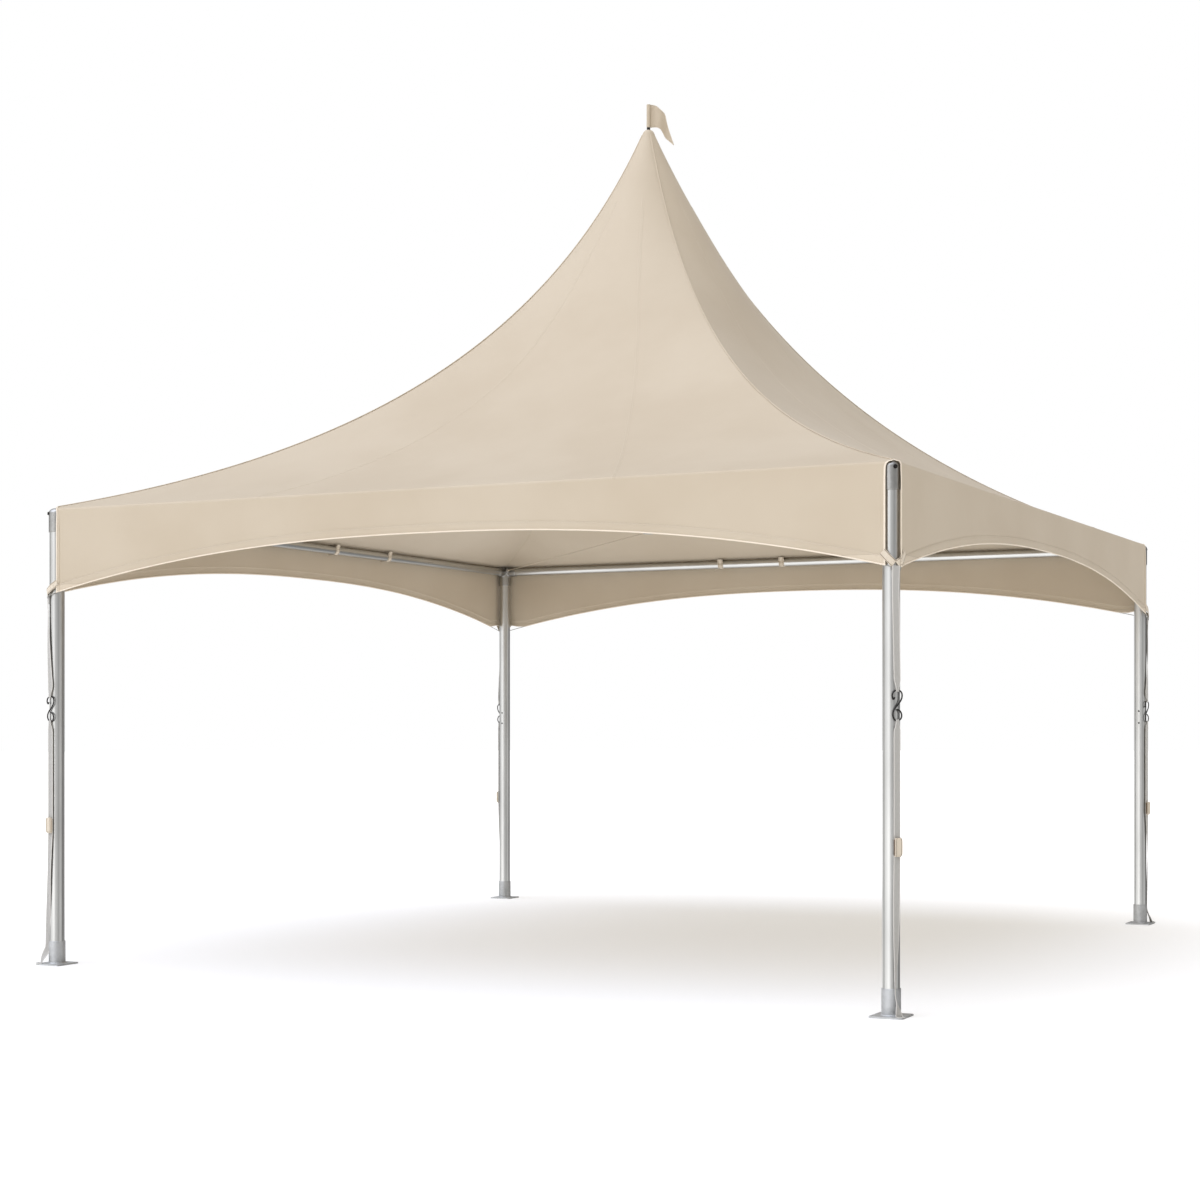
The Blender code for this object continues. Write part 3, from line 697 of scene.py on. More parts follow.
foot_low, foot_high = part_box("mast_foot")
foot_radius = foot_high.x
collar = pole_high.x + FOOT_COLLAR
foot_profile = [
    (0.001, foot_low.z),
    (foot_radius - 0.004, foot_low.z),
    (foot_radius, foot_low.z + 0.004),
    (foot_radius, pole_low.z + 0.004),
    (foot_radius - 0.002, pole_low.z + 0.007),
    (collar + 0.001, pole_low.z + 0.010),
    (collar, pole_low.z + 0.014),
    (collar, foot_high.z - 0.002),
    (collar - 0.0015, foot_high.z),
    (pole_high.x + HAIR, foot_high.z),
    (pole_high.x + HAIR, pole_low.z - HAIR),
    (0.001, pole_low.z - HAIR),
]
put("mast_foot_cast", turned("mast_foot_cast", foot_profile), cast, ["mast_foot"])

wire = Finish("coated wire rope", {"Specular IOR Level": 0.4})
rope_run = wire.node("UVMap")
wire_grain = wire.grain(wire.stretched(rope_run, (900.0, 260.0, 1.0)), 1.0, 2.0)
wire.set({"Base Color": wire.blend(wire_grain, paint(186, 174, 155), paint(208, 197, 179))})
wire.set({"Roughness": 0.38 + 0.2 * wire_grain})
wire.relief(wire_grain, 0.0002)


def rope_ring(radius, twist):
    """Section of a laid rope: strands stand proud and turn along its length."""
    ring = []
    for step in range(2 * ROPE_LOBES):
        angle = math.pi * step / ROPE_LOBES + twist
        reach = radius if step % 2 else radius * 0.80
        ring.append((reach * math.cos(angle), reach * math.sin(angle)))
    return ring


sleeve_profile = [
    (0.003, 0),
    (SLEEVE_RADIUS, 0.002),
    (SLEEVE_RADIUS, SLEEVE_LENGTH - 0.004),
    (0.0035, SLEEVE_LENGTH),
]
for number, heading in ((1, math.pi / 4), (2, -math.pi / 4)):
    low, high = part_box(f"cross_cable_{number}")
    height = (low.z + high.z) / 2
    rope_radius = (high.z - low.z) / 2
    half_length = Vector((high.x - low.x, high.y - low.y)).length / 2 - rope_radius
    count = round(2 * half_length / ROPE_STEP)
    rope_rows = []
    for step in range(count + 1):
        along = -half_length + 2 * half_length * step / count
        ring = rope_ring(rope_radius, 2 * math.pi * along / ROPE_LAY)
        rope_rows.append([Vector((x, y, along)) for x, y in ring])
    rope = skin("rope", rope_rows, sharp=80)
    sleeve = turned("sleeve", sleeve_profile, 24)
    ends = [
        (rope, Matrix.Identity(4)),
        (sleeve, Matrix.Translation((0, 0, -half_length))),
        (sleeve, Matrix.Translation((0, 0, half_length)) @ Matrix.Rotation(math.pi, 4, "X")),
    ]
    cable_mesh = joined("cable", ends, sharp=60)
    cable_mesh.transform(laid(Vector((0, 0, height)), heading))
    put(f"wire_rope_{number}", cable_mesh, wire, [f"cross_cable_{number}"])


# Canopy
# One tensioned cover of coated polyester: four concave gores that meet at the hips, turn round
# towards the peak, fold over the eaves and hang down as arched valances. Each corner is cut out
# round the dome of its casting.
HALF_BAY = leg_axis("front_right").x
roof_low, roof_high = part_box("roof_panel_front")
EAVE_HALF = -roof_low.y
EAVE_HEIGHT = 2.355
TIP_HEIGHT = roof_high.z
PEAK_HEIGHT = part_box("peak_cap")[1].z
TIP_RADIUS = 0.038
HIP_EAVE_SLOPE = math.radians(16)
HIP_EAVE_PULL = 1.10
HIP_TIP_SLOPE = math.radians(72)
HIP_TIP_PULL = 1.37
ROUND_FROM = 3.00
FOLD_RADIUS = 0.014
FABRIC = 0.0012
GORE_ROWS = 62
NOTCH_ROWS = 14
FOLD_ROWS = 6
DOME_ROWS = 7
COLUMNS = 64
END_COLUMNS = (1, 0.9988, 0.9975, 0.9955, 0.9930, 0.9916, 0.9910, 0.9903, 0.9897, 0.987, 0.982, 0.977, 0.97)
NOTCH_POINTS = (0.004, 0.015, 0.004, 0.010)  # how far each hip runs past its leg's axis, square on
VALANCE_INSETS = (  # how far before the legs' axes each valance stops, at its left and right end
    (0.040, 0.008),
    (-0.018, 0.075),
    (0.020, 0.004),
    (-0.014, 0.040),
)
ARCH_BOTTOM = 2.322  # above this the ends curve in over the casting's dome
ARCH_LEAST = -0.013  # before the legs' axes, at the top of the arch
ARCH_LEAN = 1.6  # there an end stops at this times its own distance, less the next value
ARCH_TAKE = 0.034
END_BAND = 0.022  # doubled fabric beside a valance's end
END_STEP = 0.003
END_PROUD = 0.0026
POLE_HOLE = 0.0076
DOME_START = math.radians(18)  # slope of the peak's small dome at its foot
ROOF_SLACK = 0.005  # how far the roof wanders off its curve
SLOW_FOLD = 0.004  # how far the valances hang off the plumb, in wide folds and in narrow ones
QUICK_FOLD = 0.0022
HEM_CORNER_HEIGHT = 1.916
HEM_APEX_HEIGHT = 2.145
HEM_ARCH_POWER = 2.32
HEM_CUTS = ((2, -1), (2, 1), (3, -1))  # side and end of the hems cut off level, short of the leg
HEM_CUT_START = 0.115  # before that leg's axis, where the hem leaves its arch
HEM_CUT_END = 0.040
HEM_CUT_HEIGHT = 1.956
HEM_BAND = 0.038
PATCH_TOP = 1.963  # below this the hems' ends are doubled with a patch
VALANCE_SHARES = (0, 0.012, 0.025, 0.04, 0.06, 0.09, 0.14, 0.22, 0.32, 0.43, 0.54, 0.65, 0.76, 0.88)
HEM_SHAPE = (  # height above the hem, how far the doubled hem stands proud
    (HEM_BAND + 0.003, 0.0),
    (HEM_BAND, -0.0004),
    (HEM_BAND - 0.003, 0.0012),
    (0.026, 0.0020),
    (0.012, 0.0020),
    (0.003, 0.0012),
    (0.0, 0.0),
)


def hip(fraction):
    """Half width and height of the roof's hip, from the eave (0) to the tip (1)."""
    eave = Vector((EAVE_HALF, EAVE_HEIGHT))
    tip = Vector((TIP_RADIUS / math.sqrt(2), TIP_HEIGHT))
    eave_pull = eave + HIP_EAVE_PULL * Vector((-math.cos(HIP_EAVE_SLOPE), math.sin(HIP_EAVE_SLOPE)))
    tip_pull = tip + HIP_TIP_PULL * Vector((math.cos(HIP_TIP_SLOPE), -math.sin(HIP_TIP_SLOPE)))
    rest = 1 - fraction
    return (
        rest**3 * eave
        + 3 * rest**2 * fraction * eave_pull
        + 3 * rest * fraction**2 * tip_pull
        + fraction**3 * tip
    )


def hip_fraction(half):
    """Where along the hip the roof has this half width, found by halving."""
    low, high = 0.0, 1.0
    for _ in range(40):
        middle = (low + high) / 2
        if hip(middle).x > half:
            low = middle
        else:
            high = middle
    return low


def eased(low, high, share):
    """A value between two others with a soft start and end."""
    share = min(max(share, 0), 1)
    return low + (high - low) * share * share * (3 - 2 * share)


def roof_spot(half, height, x):
    """A point of the front gore at a level row, given by its distance from the middle."""
    roundness = eased(0, 1, (height - ROUND_FROM) / (TIP_HEIGHT - ROUND_FROM))
    bulge = x / half * math.pi / 4
    circle = half * math.sqrt(2) * Vector((math.sin(bulge), -math.cos(bulge), 0))
    spot = Vector((x, -half, 0)).lerp(circle, roundness)
    spot.z = height
    stretch = noise.noise(Vector((spot.x * 0.9, spot.y * 0.9 + 7, height * 0.9)))
    ease = min(1, (EAVE_HALF - half) * 3) * (1 - abs(x / half) ** 6)
    spot.z += ROOF_SLACK * stretch * ease
    return spot


def arch_stop(stop, height):
    """How far before a leg's axis an end is at a height: it leans over the dome near the top."""
    top = min(stop, max(ARCH_LEAST, ARCH_LEAN * stop - ARCH_TAKE))
    share = min(max((height - ARCH_BOTTOM) / (fold_top - ARCH_BOTTOM), 0), 1)
    return stop + (top - stop) * (1 - math.sqrt(1 - share**2))


def row_end(half, height, stop, point):
    """How far a row of the roof or of the fold reaches from its middle.

    The cut-out's edge leaves the hip square and bends over the casting's dome to the fold, as a
    quadratic curve; in the fold it leans on towards the valance's end.
    """
    past = half - HALF_BAY
    reach = fold_start - HALF_BAY
    if past <= point + 1e-6:
        return half
    if past >= reach:
        return HALF_BAY - arch_stop(stop, height)
    top = arch_stop(stop, fold_top)
    bend = min(max(2 * point + top, point), reach - 0.001)
    rise = bend - point
    curve = point - 2 * bend + reach
    share = (past - point) / (rise + math.sqrt(max(rise**2 + curve * (past - point), 0)))
    return HALF_BAY - top + (point + top) * (1 - share) ** 2


def hem_height(x):
    """Height of the arch of the hem at a distance along a side from its middle."""
    drop = HEM_APEX_HEIGHT - HEM_CORNER_HEIGHT
    return HEM_APEX_HEIGHT - drop * abs(x / HALF_BAY) ** HEM_ARCH_POWER


def edge_height(side, x):
    """Height of the fabric's lower edge: the arch, which is cut off level at some of its ends."""
    low = hem_height(HALF_BAY - HEM_CUT_START)
    share = (HEM_CUT_START - HALF_BAY + abs(x)) / (HEM_CUT_START - HEM_CUT_END)
    if share <= 0 or (side, 1 if x > 0 else -1) not in HEM_CUTS:
        return hem_height(x)
    return low + (HEM_CUT_HEIGHT - low) * min(share, 1)


fold_angle = math.pi / 2 - HIP_EAVE_SLOPE
fold_take = FOLD_RADIUS * math.tan(fold_angle / 2)
fold_bottom = EAVE_HEIGHT - fold_take
fold_start = EAVE_HALF - fold_take * math.cos(HIP_EAVE_SLOPE)
fold_top = fold_bottom + FOLD_RADIUS * math.sin(fold_angle)


def span(side):
    """Where a valance's left and right ends are, from its middle."""
    left, right = VALANCE_INSETS[side]
    return left - HALF_BAY, HALF_BAY - right


def spaced(left, right, place):
    """The point between two ends at a place from -1 to 1."""
    return (left + right) / 2 + place * (right - left) / 2


def valance_spot(side, x, z, proud=0.0):
    """A point of a valance, made at the front. It hangs in slight folds and is doubled at its ends."""
    left, right = span(side)
    depth = (fold_bottom - z) / (fold_bottom - edge_height(side, x))
    hang = min(1, depth * 3) * (1 - (x / EAVE_HALF) ** 8)
    slow = noise.noise(Vector((x * 1.6, z * 1.2, 3.1 + 5 * side)))
    quick = noise.noise(Vector((x * 5.5 + z * 3.0, z * 1.0, 9.7 + 5 * side)))
    from_end = min(x - left, right - x)
    band = min(max((END_BAND - from_end) / END_STEP, 0), 1) * min(1, depth * 6)
    out = EAVE_HALF + proud + eased(0, END_PROUD, band)
    return Vector((x, -out + hang * (SLOW_FOLD * slow + QUICK_FOLD * quick), z))


roof_rows = []
notch_half = HALF_BAY + min(NOTCH_POINTS) - 0.0015
notch_fraction = hip_fraction(notch_half)
for step in range(GORE_ROWS):
    roof_rows.append(tuple(hip(1 + (notch_fraction - 1) * step / GORE_ROWS)))
for step in range(NOTCH_ROWS):
    half = notch_half + (fold_start - notch_half) * step / NOTCH_ROWS
    roof_rows.append((half, hip(hip_fraction(half)).y))
for step in range(FOLD_ROWS):
    angle = fold_angle * (1 - step / FOLD_ROWS)
    half = EAVE_HALF - FOLD_RADIUS * (1 - math.cos(angle))
    roof_rows.append((half, fold_bottom + FOLD_RADIUS * math.sin(angle)))

inner = [END_COLUMNS[-1] * (1 - 2 * step / COLUMNS) for step in range(1, COLUMNS)]
across_places = [-place for place in (*END_COLUMNS, *inner)] + list(reversed(END_COLUMNS))
dome_rows = []
for step in range(DOME_ROWS):
    angle = math.pi / 2 + (DOME_START - math.pi / 2) * step / DOME_ROWS
    radius = POLE_HOLE + (TIP_RADIUS - POLE_HOLE) * math.cos(angle) / math.cos(DOME_START)
    rise = (math.sin(angle) - math.sin(DOME_START)) / (1 - math.sin(DOME_START))
    height = TIP_HEIGHT + (PEAK_HEIGHT - TIP_HEIGHT) * rise
    angles = [place * math.pi / 4 for place in across_places]
    dome_rows.append([Vector((radius * math.sin(a), -radius * math.cos(a), height)) for a in angles])


def gore(side):
    """One side of the canopy, from the peak down to the hem, made at the front."""
    stops = VALANCE_INSETS[side]
    rows = list(dome_rows)
    for half, height in roof_rows:
        left = -row_end(half, height, stops[0], NOTCH_POINTS[side])
        right = row_end(half, height, stops[1], NOTCH_POINTS[(side + 1) % 4])
        rows.append([roof_spot(half, height, spaced(left, right, place)) for place in across_places])
    spots = [spaced(*span(side), place) for place in across_places]
    for share in VALANCE_SHARES:
        row = []
        for place, x in zip(across_places, spots):
            bottom = edge_height(side, x) + HEM_SHAPE[0][0]
            height = fold_bottom + (bottom - fold_bottom) * share
            left, right = arch_stop(stops[0], height) - HALF_BAY, HALF_BAY - arch_stop(stops[1], height)
            row.append(valance_spot(side, spaced(left, right, place), height))
        rows.append(row)
    for above, proud in HEM_SHAPE:
        rows.append([valance_spot(side, x, edge_height(side, x) + above, proud) for x in spots])
    return rows


def gore_mesh(side):
    """The mesh of one side, in its place, and its length down the middle."""
    rows = gore(side)
    middle = len(across_places) // 2
    charts, length = [], 0.0
    for step, row in enumerate(rows):
        if step:
            length += (row[middle] - rows[step - 1][middle]).length
        charts.append([(spot.x, length) for spot in row])
    mesh = skin("gore", rows, ring=False, charts=charts)
    mesh.flip_normals()
    mesh.transform(side_turn(side))
    return mesh, length


fabric_shine = {"Sheen Weight": 0.12, "Sheen Roughness": 0.5, "Specular IOR Level": 0.35}
fabric = Finish("coated canopy fabric", fabric_shine)
cloth_run = fabric.node("UVMap")
cloth_spot = fabric.node("TexCoord", output="Object")
cloud = fabric.grain(cloth_spot, 1.3, 4.0, 0.55)
fleck = fabric.grain(fabric.stretched(cloth_run, (620.0, 620.0, 1.0)), 1.0, 2.0)
weave_wander = 0.0012 * fabric.grain(cloth_spot, 60.0)
weave_run = fabric.node("VectorMath", {"operation": "ADD"}, [cloth_run, weave_wander])
weave = {"Vector": weave_run, "Scale": 290.0, "Distortion": 0.8}
warp = fabric.node("TexWave", {"bands_direction": "X"}, weave)
weft = fabric.node("TexWave", {"bands_direction": "Y"}, weave)
cloth_colour = fabric.blend(cloud.between(0.3, 0.7), paint(189, 175, 153), paint(195, 182, 161))
cloth_fleck = fabric.blend(0.16 * fleck, cloth_colour, paint(158, 142, 120))
below_patch_top = PATCH_TOP - fabric.node("SeparateXYZ", None, [cloth_spot], "Z")
patch = below_patch_top.between(0.0, 0.0012)
# A thin dark band along the patch's upper edge is painted shade where the doubled fabric steps up.
patch_edge_shade = below_patch_top.between(-0.0022, -0.0008) - below_patch_top.between(-0.0002, 0.0008)
cloth_patched = fabric.blend(0.45 * patch, cloth_fleck, paint(214, 200, 179))
cloth_shaded = fabric.blend(0.30 * patch_edge_shade, cloth_patched, paint(128, 113, 92))
fabric.set({"Base Color": cloth_shaded, "Roughness": 0.56 + 0.12 * fleck})
fabric.relief(0.25 * warp + 0.25 * weft + 0.5 * fleck + 5.0 * patch, 0.00012)

gores = [gore_mesh(side) for side in range(4)]
canopy_mesh = joined("canopy", [mesh for mesh, _ in gores], merge=0.0001)
canopy_nodes = [f"{panel}_{name}" for panel in ("roof_panel", "valance") for name in SIDES] + ["peak_cap"]
canopy = put("canopy", canopy_mesh, fabric, canopy_nodes)
thickness = canopy.modifiers.new("cloth", "SOLIDIFY")
thickness.thickness = FABRIC
thickness.offset = -1
thickness.use_even_offset = True


# Edge binding, piping and seams
# The canopy's cut-outs and valance ends are bound with a folded strip of the same fabric. A bead
# runs down each hip and along each hem, and two flat seams run up each gore. The binding and the
# hem beads are coloured lighter than the fabric, as a painted highlight on their rolled edges.
BINDING_WIDTH = 0.0095
BINDING_THICKNESS = 0.0042
BINDING_INSET = 0.0042
HIP_BEAD_WIDTH = 0.0105
HIP_BEAD_HEIGHT = 0.0062
HEM_BEAD = 0.0068
HEM_BEAD_DROP = 0.0012  # of its middle below the edge
SEAM_PLACE = 0.42  # of the way from a gore's middle to its hip
SEAM_WIDTH = 0.020
SEAM_THICKNESS = 0.0016
SEAM_TOP = 0.16  # half width of the roof where the seams run out
BEAD_RISE = 0.0012  # of the middle of a hip's bead above the fabric
BINDING_RISE = 0.0006
CORNER_BLEND = 0.03  # length over which the binding turns from one side's lean to the next


def oval(width, thickness, sides=10):
    """Section of a bead or a folded strip."""
    angles = [2 * math.pi * step / sides for step in range(sides)]
    return [(width / 2 * math.cos(a), thickness / 2 * math.sin(a)) for a in angles]


def swept(name, path, normals, section, loop=False, widths=None, sharp=35):
    """A bar of one section along a path, with its second axis along the normals, or one normal."""
    rows = []
    charts = []
    count = len(path)
    if isinstance(normals, Vector):
        normals = [normals] * count
    run = 0.0
    for step in range(count):
        point, normal = path[step], normals[step]
        if loop:
            ahead = path[(step + 1) % count] - path[step - 1]
        else:
            ahead = path[min(step + 1, count - 1)] - path[max(step - 1, 0)]
        across = ahead.cross(normal).normalized()
        upward = across.cross(ahead).normalized()
        width = widths[step] if widths else 1.0
        rows.append([point + a * width * across + b * upward for a, b in section])
        run += (path[step] - path[step - 1]).length if step else 0.0
        charts.append([(a, run) for a, _ in (*section, section[0])])
    if loop:
        charts.append([(a, run + (path[0] - path[-1]).length) for a, _ in (*section, section[0])])
    return skin(name, rows, loop=loop, charts=charts, sharp=sharp)


def roof_normal(half, height, x):
    """Outward direction of the front gore at a point."""
    fraction = hip_fraction(half)
    nudge = 0.004
    lower, upper = hip(max(fraction - nudge, 0)), hip(min(fraction + nudge, 1))
    share = x / half
    uphill = roof_spot(upper.x, upper.y, share * upper.x) - roof_spot(lower.x, lower.y, share * lower.x)
    step = half * 0.01
    sideways = roof_spot(half, height, min(x + step, half)) - roof_spot(half, height, x - step)
    return sideways.cross(uphill).normalized()


def mirrored(point, sign=1):
    """The matching point past the front gore's right hip, or past its left one."""
    return Vector((-sign * point.y, -sign * point.x, point.z))


def around(mesh):
    """A mesh of the front side, repeated on all four."""
    return [(mesh, side_turn(side)) for side in range(4)]


def end_line(side, sign, inset, rise):
    """Path and normals beside one end of a valance and its cut-out, from the hem up to the hip."""
    stop = VALANCE_INSETS[side][0 if sign < 0 else 1] + inset
    point = NOTCH_POINTS[side if sign < 0 else (side + 1) % 4] - inset
    bottom = edge_height(side, sign * (HALF_BAY - stop))
    path, normals = [valance_spot(side, sign * (HALF_BAY - stop), bottom, rise)], [Vector((0, -1, 0))]
    for share in reversed(VALANCE_SHARES[1:]):
        height = fold_bottom + (bottom - fold_bottom) * share
        x = sign * (HALF_BAY - arch_stop(stop - inset, height) - inset)
        path.append(valance_spot(side, x, height, rise))
        normals.append(Vector((0, -1, 0)))
    for step in range(FOLD_ROWS + NOTCH_ROWS + 1):
        if step < FOLD_ROWS:
            angle = fold_angle * step / FOLD_ROWS
            half = EAVE_HALF - FOLD_RADIUS * (1 - math.cos(angle))
            height = fold_bottom + FOLD_RADIUS * math.sin(angle)
            lean = Vector((0, -math.cos(angle), math.sin(angle)))
        else:
            half = fold_start + (HALF_BAY + point - fold_start) * (step - FOLD_ROWS) / NOTCH_ROWS
            height = hip(hip_fraction(half)).y
            lean = roof_normal(half, height, half * 0.98)
        if half < fold_start:
            x = sign * row_end(half, height, stop, point)
        else:
            x = sign * (HALF_BAY - arch_stop(stop - inset, height) - inset)
        share = 0.5 * max(0, 1 - (half - abs(x)) / CORNER_BLEND)
        lean = Vector((0, lean.y, lean.z)).normalized()
        lean = lean.lerp(mirrored(lean, sign), share).normalized()
        path.append(Vector((x, -half, height)) + rise * lean)
        normals.append(lean)
    return [side_turn(side) @ spot for spot in path], [side_turn(side) @ lean for lean in normals]


def over_corner(side, inset, rise):
    """Path and normals from the right end of a side's valance, over the hip, down the next side's."""
    path, normals = end_line(side, 1, inset, rise)
    other_path, other_normals = end_line((side + 1) % 4, -1, inset, rise)
    return path + other_path[-2::-1], normals + other_normals[-2::-1]


# Colour of the binding and the hem beads: lighter than the canopy fabric, a painted highlight on their rolled
# edges.
edge_highlight_colours = (paint(214, 200, 179), paint(238, 227, 210))
edge_shine = {"Sheen Weight": 0.15, "Specular IOR Level": 0.35}
highlit_edge_tape = grained("edge tape with painted highlight", edge_shine, (900.0, 3.0), edge_highlight_colours, (0.55, 0.15), 0.0001)

bindings = []
for side in range(4):
    binding_path, binding_normals = over_corner(side, BINDING_INSET, BINDING_RISE)
    binding_section = oval(BINDING_WIDTH, BINDING_THICKNESS)
    bindings.append(swept("binding", binding_path, binding_normals, binding_section))
put_joined("edge_binding", bindings, highlit_edge_tape)

hip_beads = []
for side in range(4):
    stop = HALF_BAY + NOTCH_POINTS[(side + 1) % 4] - BINDING_WIDTH / 2 - BINDING_INSET / 2
    stations = [(half, height) for half, height in roof_rows if half < stop - 0.002]
    stations.append((stop, hip(hip_fraction(stop)).y))
    hip_path, hip_normals = [], []
    for half, height in stations:
        lean = roof_normal(half, height, half)
        lean = (lean + mirrored(lean)).normalized()
        hip_path.append(roof_spot(half, height, half) + BEAD_RISE * lean)
        hip_normals.append(lean)
    bead = swept("hip_bead", hip_path, hip_normals, oval(HIP_BEAD_WIDTH, HIP_BEAD_HEIGHT))
    hip_beads.append((bead, side_turn(side)))
put_joined("hip_piping", hip_beads, fabric)

hem_beads = []
for side in range(4):
    hem_path = []
    for place in across_places:
        x = spaced(*span(side), place)
        hem_path.append(valance_spot(side, x, edge_height(side, x), HAIR) - Vector((0, 0, HEM_BEAD_DROP)))
    bead = swept("hem_bead", hem_path, Vector((0, -1, 0)), oval(HEM_BEAD, HEM_BEAD))
    hem_beads.append((bead, side_turn(side)))
put_joined("hem_piping", hem_beads, highlit_edge_tape)


def seam_line(share, offset, rise):
    """Path and normals up a gore beside one of its flat seams."""
    path, normals = [], []
    for half, height in reversed(roof_rows):
        if half < SEAM_TOP:
            break
        x = share * half + offset
        lean = roof_normal(min(half, fold_start), height, x)
        if half > fold_start:
            lean = Vector((0, -(half - EAVE_HALF + FOLD_RADIUS), height - fold_bottom)).normalized()
            path.append(Vector((x, -half, height)) + rise * lean)
        else:
            path.append(roof_spot(half, height, x) + rise * lean)
        normals.append(lean)
    return path, normals


seams = []
for share in (-SEAM_PLACE, SEAM_PLACE):
    path, normals = seam_line(share, 0.0, 0.0)
    seams.append(swept("seam", path, normals, oval(SEAM_WIDTH, SEAM_THICKNESS, 8), sharp=80))
put_joined("gore_seams", around(joined("seams", seams)), fabric)


# Stitches
# Lockstitch in polyester thread a shade lighter than the fabric, sunk a little into it: two rows
# along each hem, beside each hip and on each seam, and one row along the binding.
STITCH_PITCH = 0.0065
STITCH_LENGTH = 0.0046
THREAD = 0.0006
THREAD_RISE = 0.0002  # of its middle above the fabric, beside a binding or a webbing
HIP_STITCHES = 0.004  # from the edge of a hip's bead
SEAM_STITCHES = (-0.0062, 0.0062)  # from a seam's middle
HEM_STITCHES = ((HEM_BAND + 0.001, 0.0002), (HEM_BAND - 0.006, 0.0019))  # above the hem, and proud

thread_colours = (paint(186, 173, 154), paint(214, 204, 188))
thread_shine = {"Specular IOR Level": 0.4, "Sheen Weight": 0.2}
thread = grained("sewing thread", thread_shine, (900.0, 1.0), thread_colours, (0.6, 0.1), 0.0001)


class Growth:
    """A Geometry Nodes tree under construction, with its named inputs."""

    def __init__(self, name, sizes):
        self.tree = bpy.data.node_groups.new(name, "GeometryNodeTree")
        face = self.tree.interface
        face.new_socket("Geometry", in_out="INPUT", socket_type="NodeSocketGeometry")
        self.keys = {}
        for label, kind in sizes.items():
            socket = face.new_socket(label, in_out="INPUT", socket_type="NodeSocket" + kind)
            self.keys[label] = socket.identifier
        face.new_socket("Geometry", in_out="OUTPUT", socket_type="NodeSocketGeometry")
        self.source = self.tree.nodes.new("NodeGroupInput")
        self.sink = self.tree.nodes.new("NodeGroupOutput")

    def given(self, label):
        return self.source.outputs[label]

    def node(self, kind, settings=None, sockets=(), output=0):
        """Adds a node: its settings first, then the values or links of its sockets."""
        made = self.tree.nodes.new(kind)
        for name, value in (settings or {}).items():
            setattr(made, name, value)
        for key, value in dict(sockets).items():
            if isinstance(value, bpy.types.NodeSocket):
                self.tree.links.new(value, made.inputs[key])
            else:
                made.inputs[key].default_value = value
        return made.outputs[output]

    def finished(self, geometry):
        """Ends the tree in real faces with their material."""
        real = self.node("GeometryNodeRealizeInstances", None, {"Geometry": geometry})
        sockets = {"Geometry": real, "Material": self.given("Material")}
        painted = self.node("GeometryNodeSetMaterial", None, sockets)
        self.tree.links.new(painted, self.sink.inputs[0])

    def grown(self, name, seed, values):
        """The plain mesh that the tree makes of a seed object, which is then removed."""
        change = seed.modifiers.new("growth", "NODES")
        change.node_group = self.tree
        for label, value in values.items():
            change[self.keys[label]] = value
        bpy.context.view_layer.update()
        evaluated = seed.evaluated_get(bpy.context.evaluated_depsgraph_get())
        mesh = bpy.data.meshes.new_from_object(evaluated)
        mesh.name = name
        bpy.data.objects.remove(seed, do_unlink=True)
        return mesh


stitch_inputs = {"Pitch": "Float", "Length": "Float", "Thread": "Float", "Material": "Material"}
stitching = Growth("stitching", stitch_inputs)
sockets = {"Curve": stitching.given("Geometry"), "Length": stitching.given("Pitch")}
stops = stitching.node("GeometryNodeCurveToPoints", {"mode": "LENGTH"}, sockets)
run_of_stops = stops.node.outputs["Tangent"]
aim = stitching.node("FunctionNodeAlignRotationToVector", {"axis": "Z"}, {"Vector": run_of_stops})
sockets = {"Vertices": 5, "Radius": stitching.given("Thread"), "Depth": stitching.given("Length")}
one_stitch = stitching.node("GeometryNodeMeshCylinder", None, sockets)
sockets = {"Points": stops, "Instance": one_stitch, "Rotation": aim}
stitching.finished(stitching.node("GeometryNodeInstanceOnPoints", None, sockets))


def thread_path(name, lines):
    """A hidden curve object with one straight-edged line for each list of points."""
    curve = bpy.data.curves.new(name, "CURVE")
    curve.dimensions = "3D"
    for line in lines:
        spline = curve.splines.new("POLY")
        spline.points.add(len(line) - 1)
        for knot, point in zip(spline.points, line):
            knot.co = (*point, 1)
    helper = bpy.data.objects.new(name, curve)
    bpy.context.scene.collection.objects.link(helper)
    return helper


def sewn(name, lines, repeat=True):
    """Stitches along lines of one side, repeated on all four sides."""
    sizes = {"Pitch": STITCH_PITCH, "Length": STITCH_LENGTH, "Thread": THREAD, "Material": thread.material}
    mesh = stitching.grown(name, thread_path(name, lines), sizes)
    if repeat:
        mesh = joined(name, around(mesh), sharp=80)
    return put(name, mesh, thread)


hip_offset = HIP_BEAD_WIDTH / 2 + HIP_STITCHES
left_line, right_line = [], []
for half, height in roof_rows:
    if half - HALF_BAY > min(NOTCH_POINTS) - 2 * BINDING_WIDTH:
        break
    if half > 3 * hip_offset:
        x = half - hip_offset
        spot = roof_spot(half, height, x) + 0.0003 * roof_normal(half, height, x)
        right_line.append(spot)
        left_line.append(mirrored(spot))
hip_lines = [left_line, right_line]
seam_lines = []
for share in (-SEAM_PLACE, SEAM_PLACE):
    for offset in SEAM_STITCHES:
        seam_lines.append(seam_line(share, offset, SEAM_THICKNESS * 0.4)[0])
hem_lines, binding_lines = [], []
for side in range(4):
    left, right = span(side)
    for above, proud in HEM_STITCHES:
        line = []
        for place in across_places[1:-1]:
            x = spaced(left + BINDING_WIDTH, right - BINDING_WIDTH, place)
            spot = valance_spot(side, x, edge_height(side, x) + above, proud)
            line.append(side_turn(side) @ spot)
        hem_lines.append(line)
    inset = BINDING_INSET + BINDING_WIDTH * 0.30
    binding_lines.append(over_corner(side, inset, BINDING_THICKNESS / 2 + THREAD_RISE)[0])
sewn("hip_stitches", hip_lines)
sewn("seam_stitches", seam_lines)
sewn("hem_stitches", hem_lines, repeat=False)
sewn("binding_stitches", binding_lines, repeat=False)


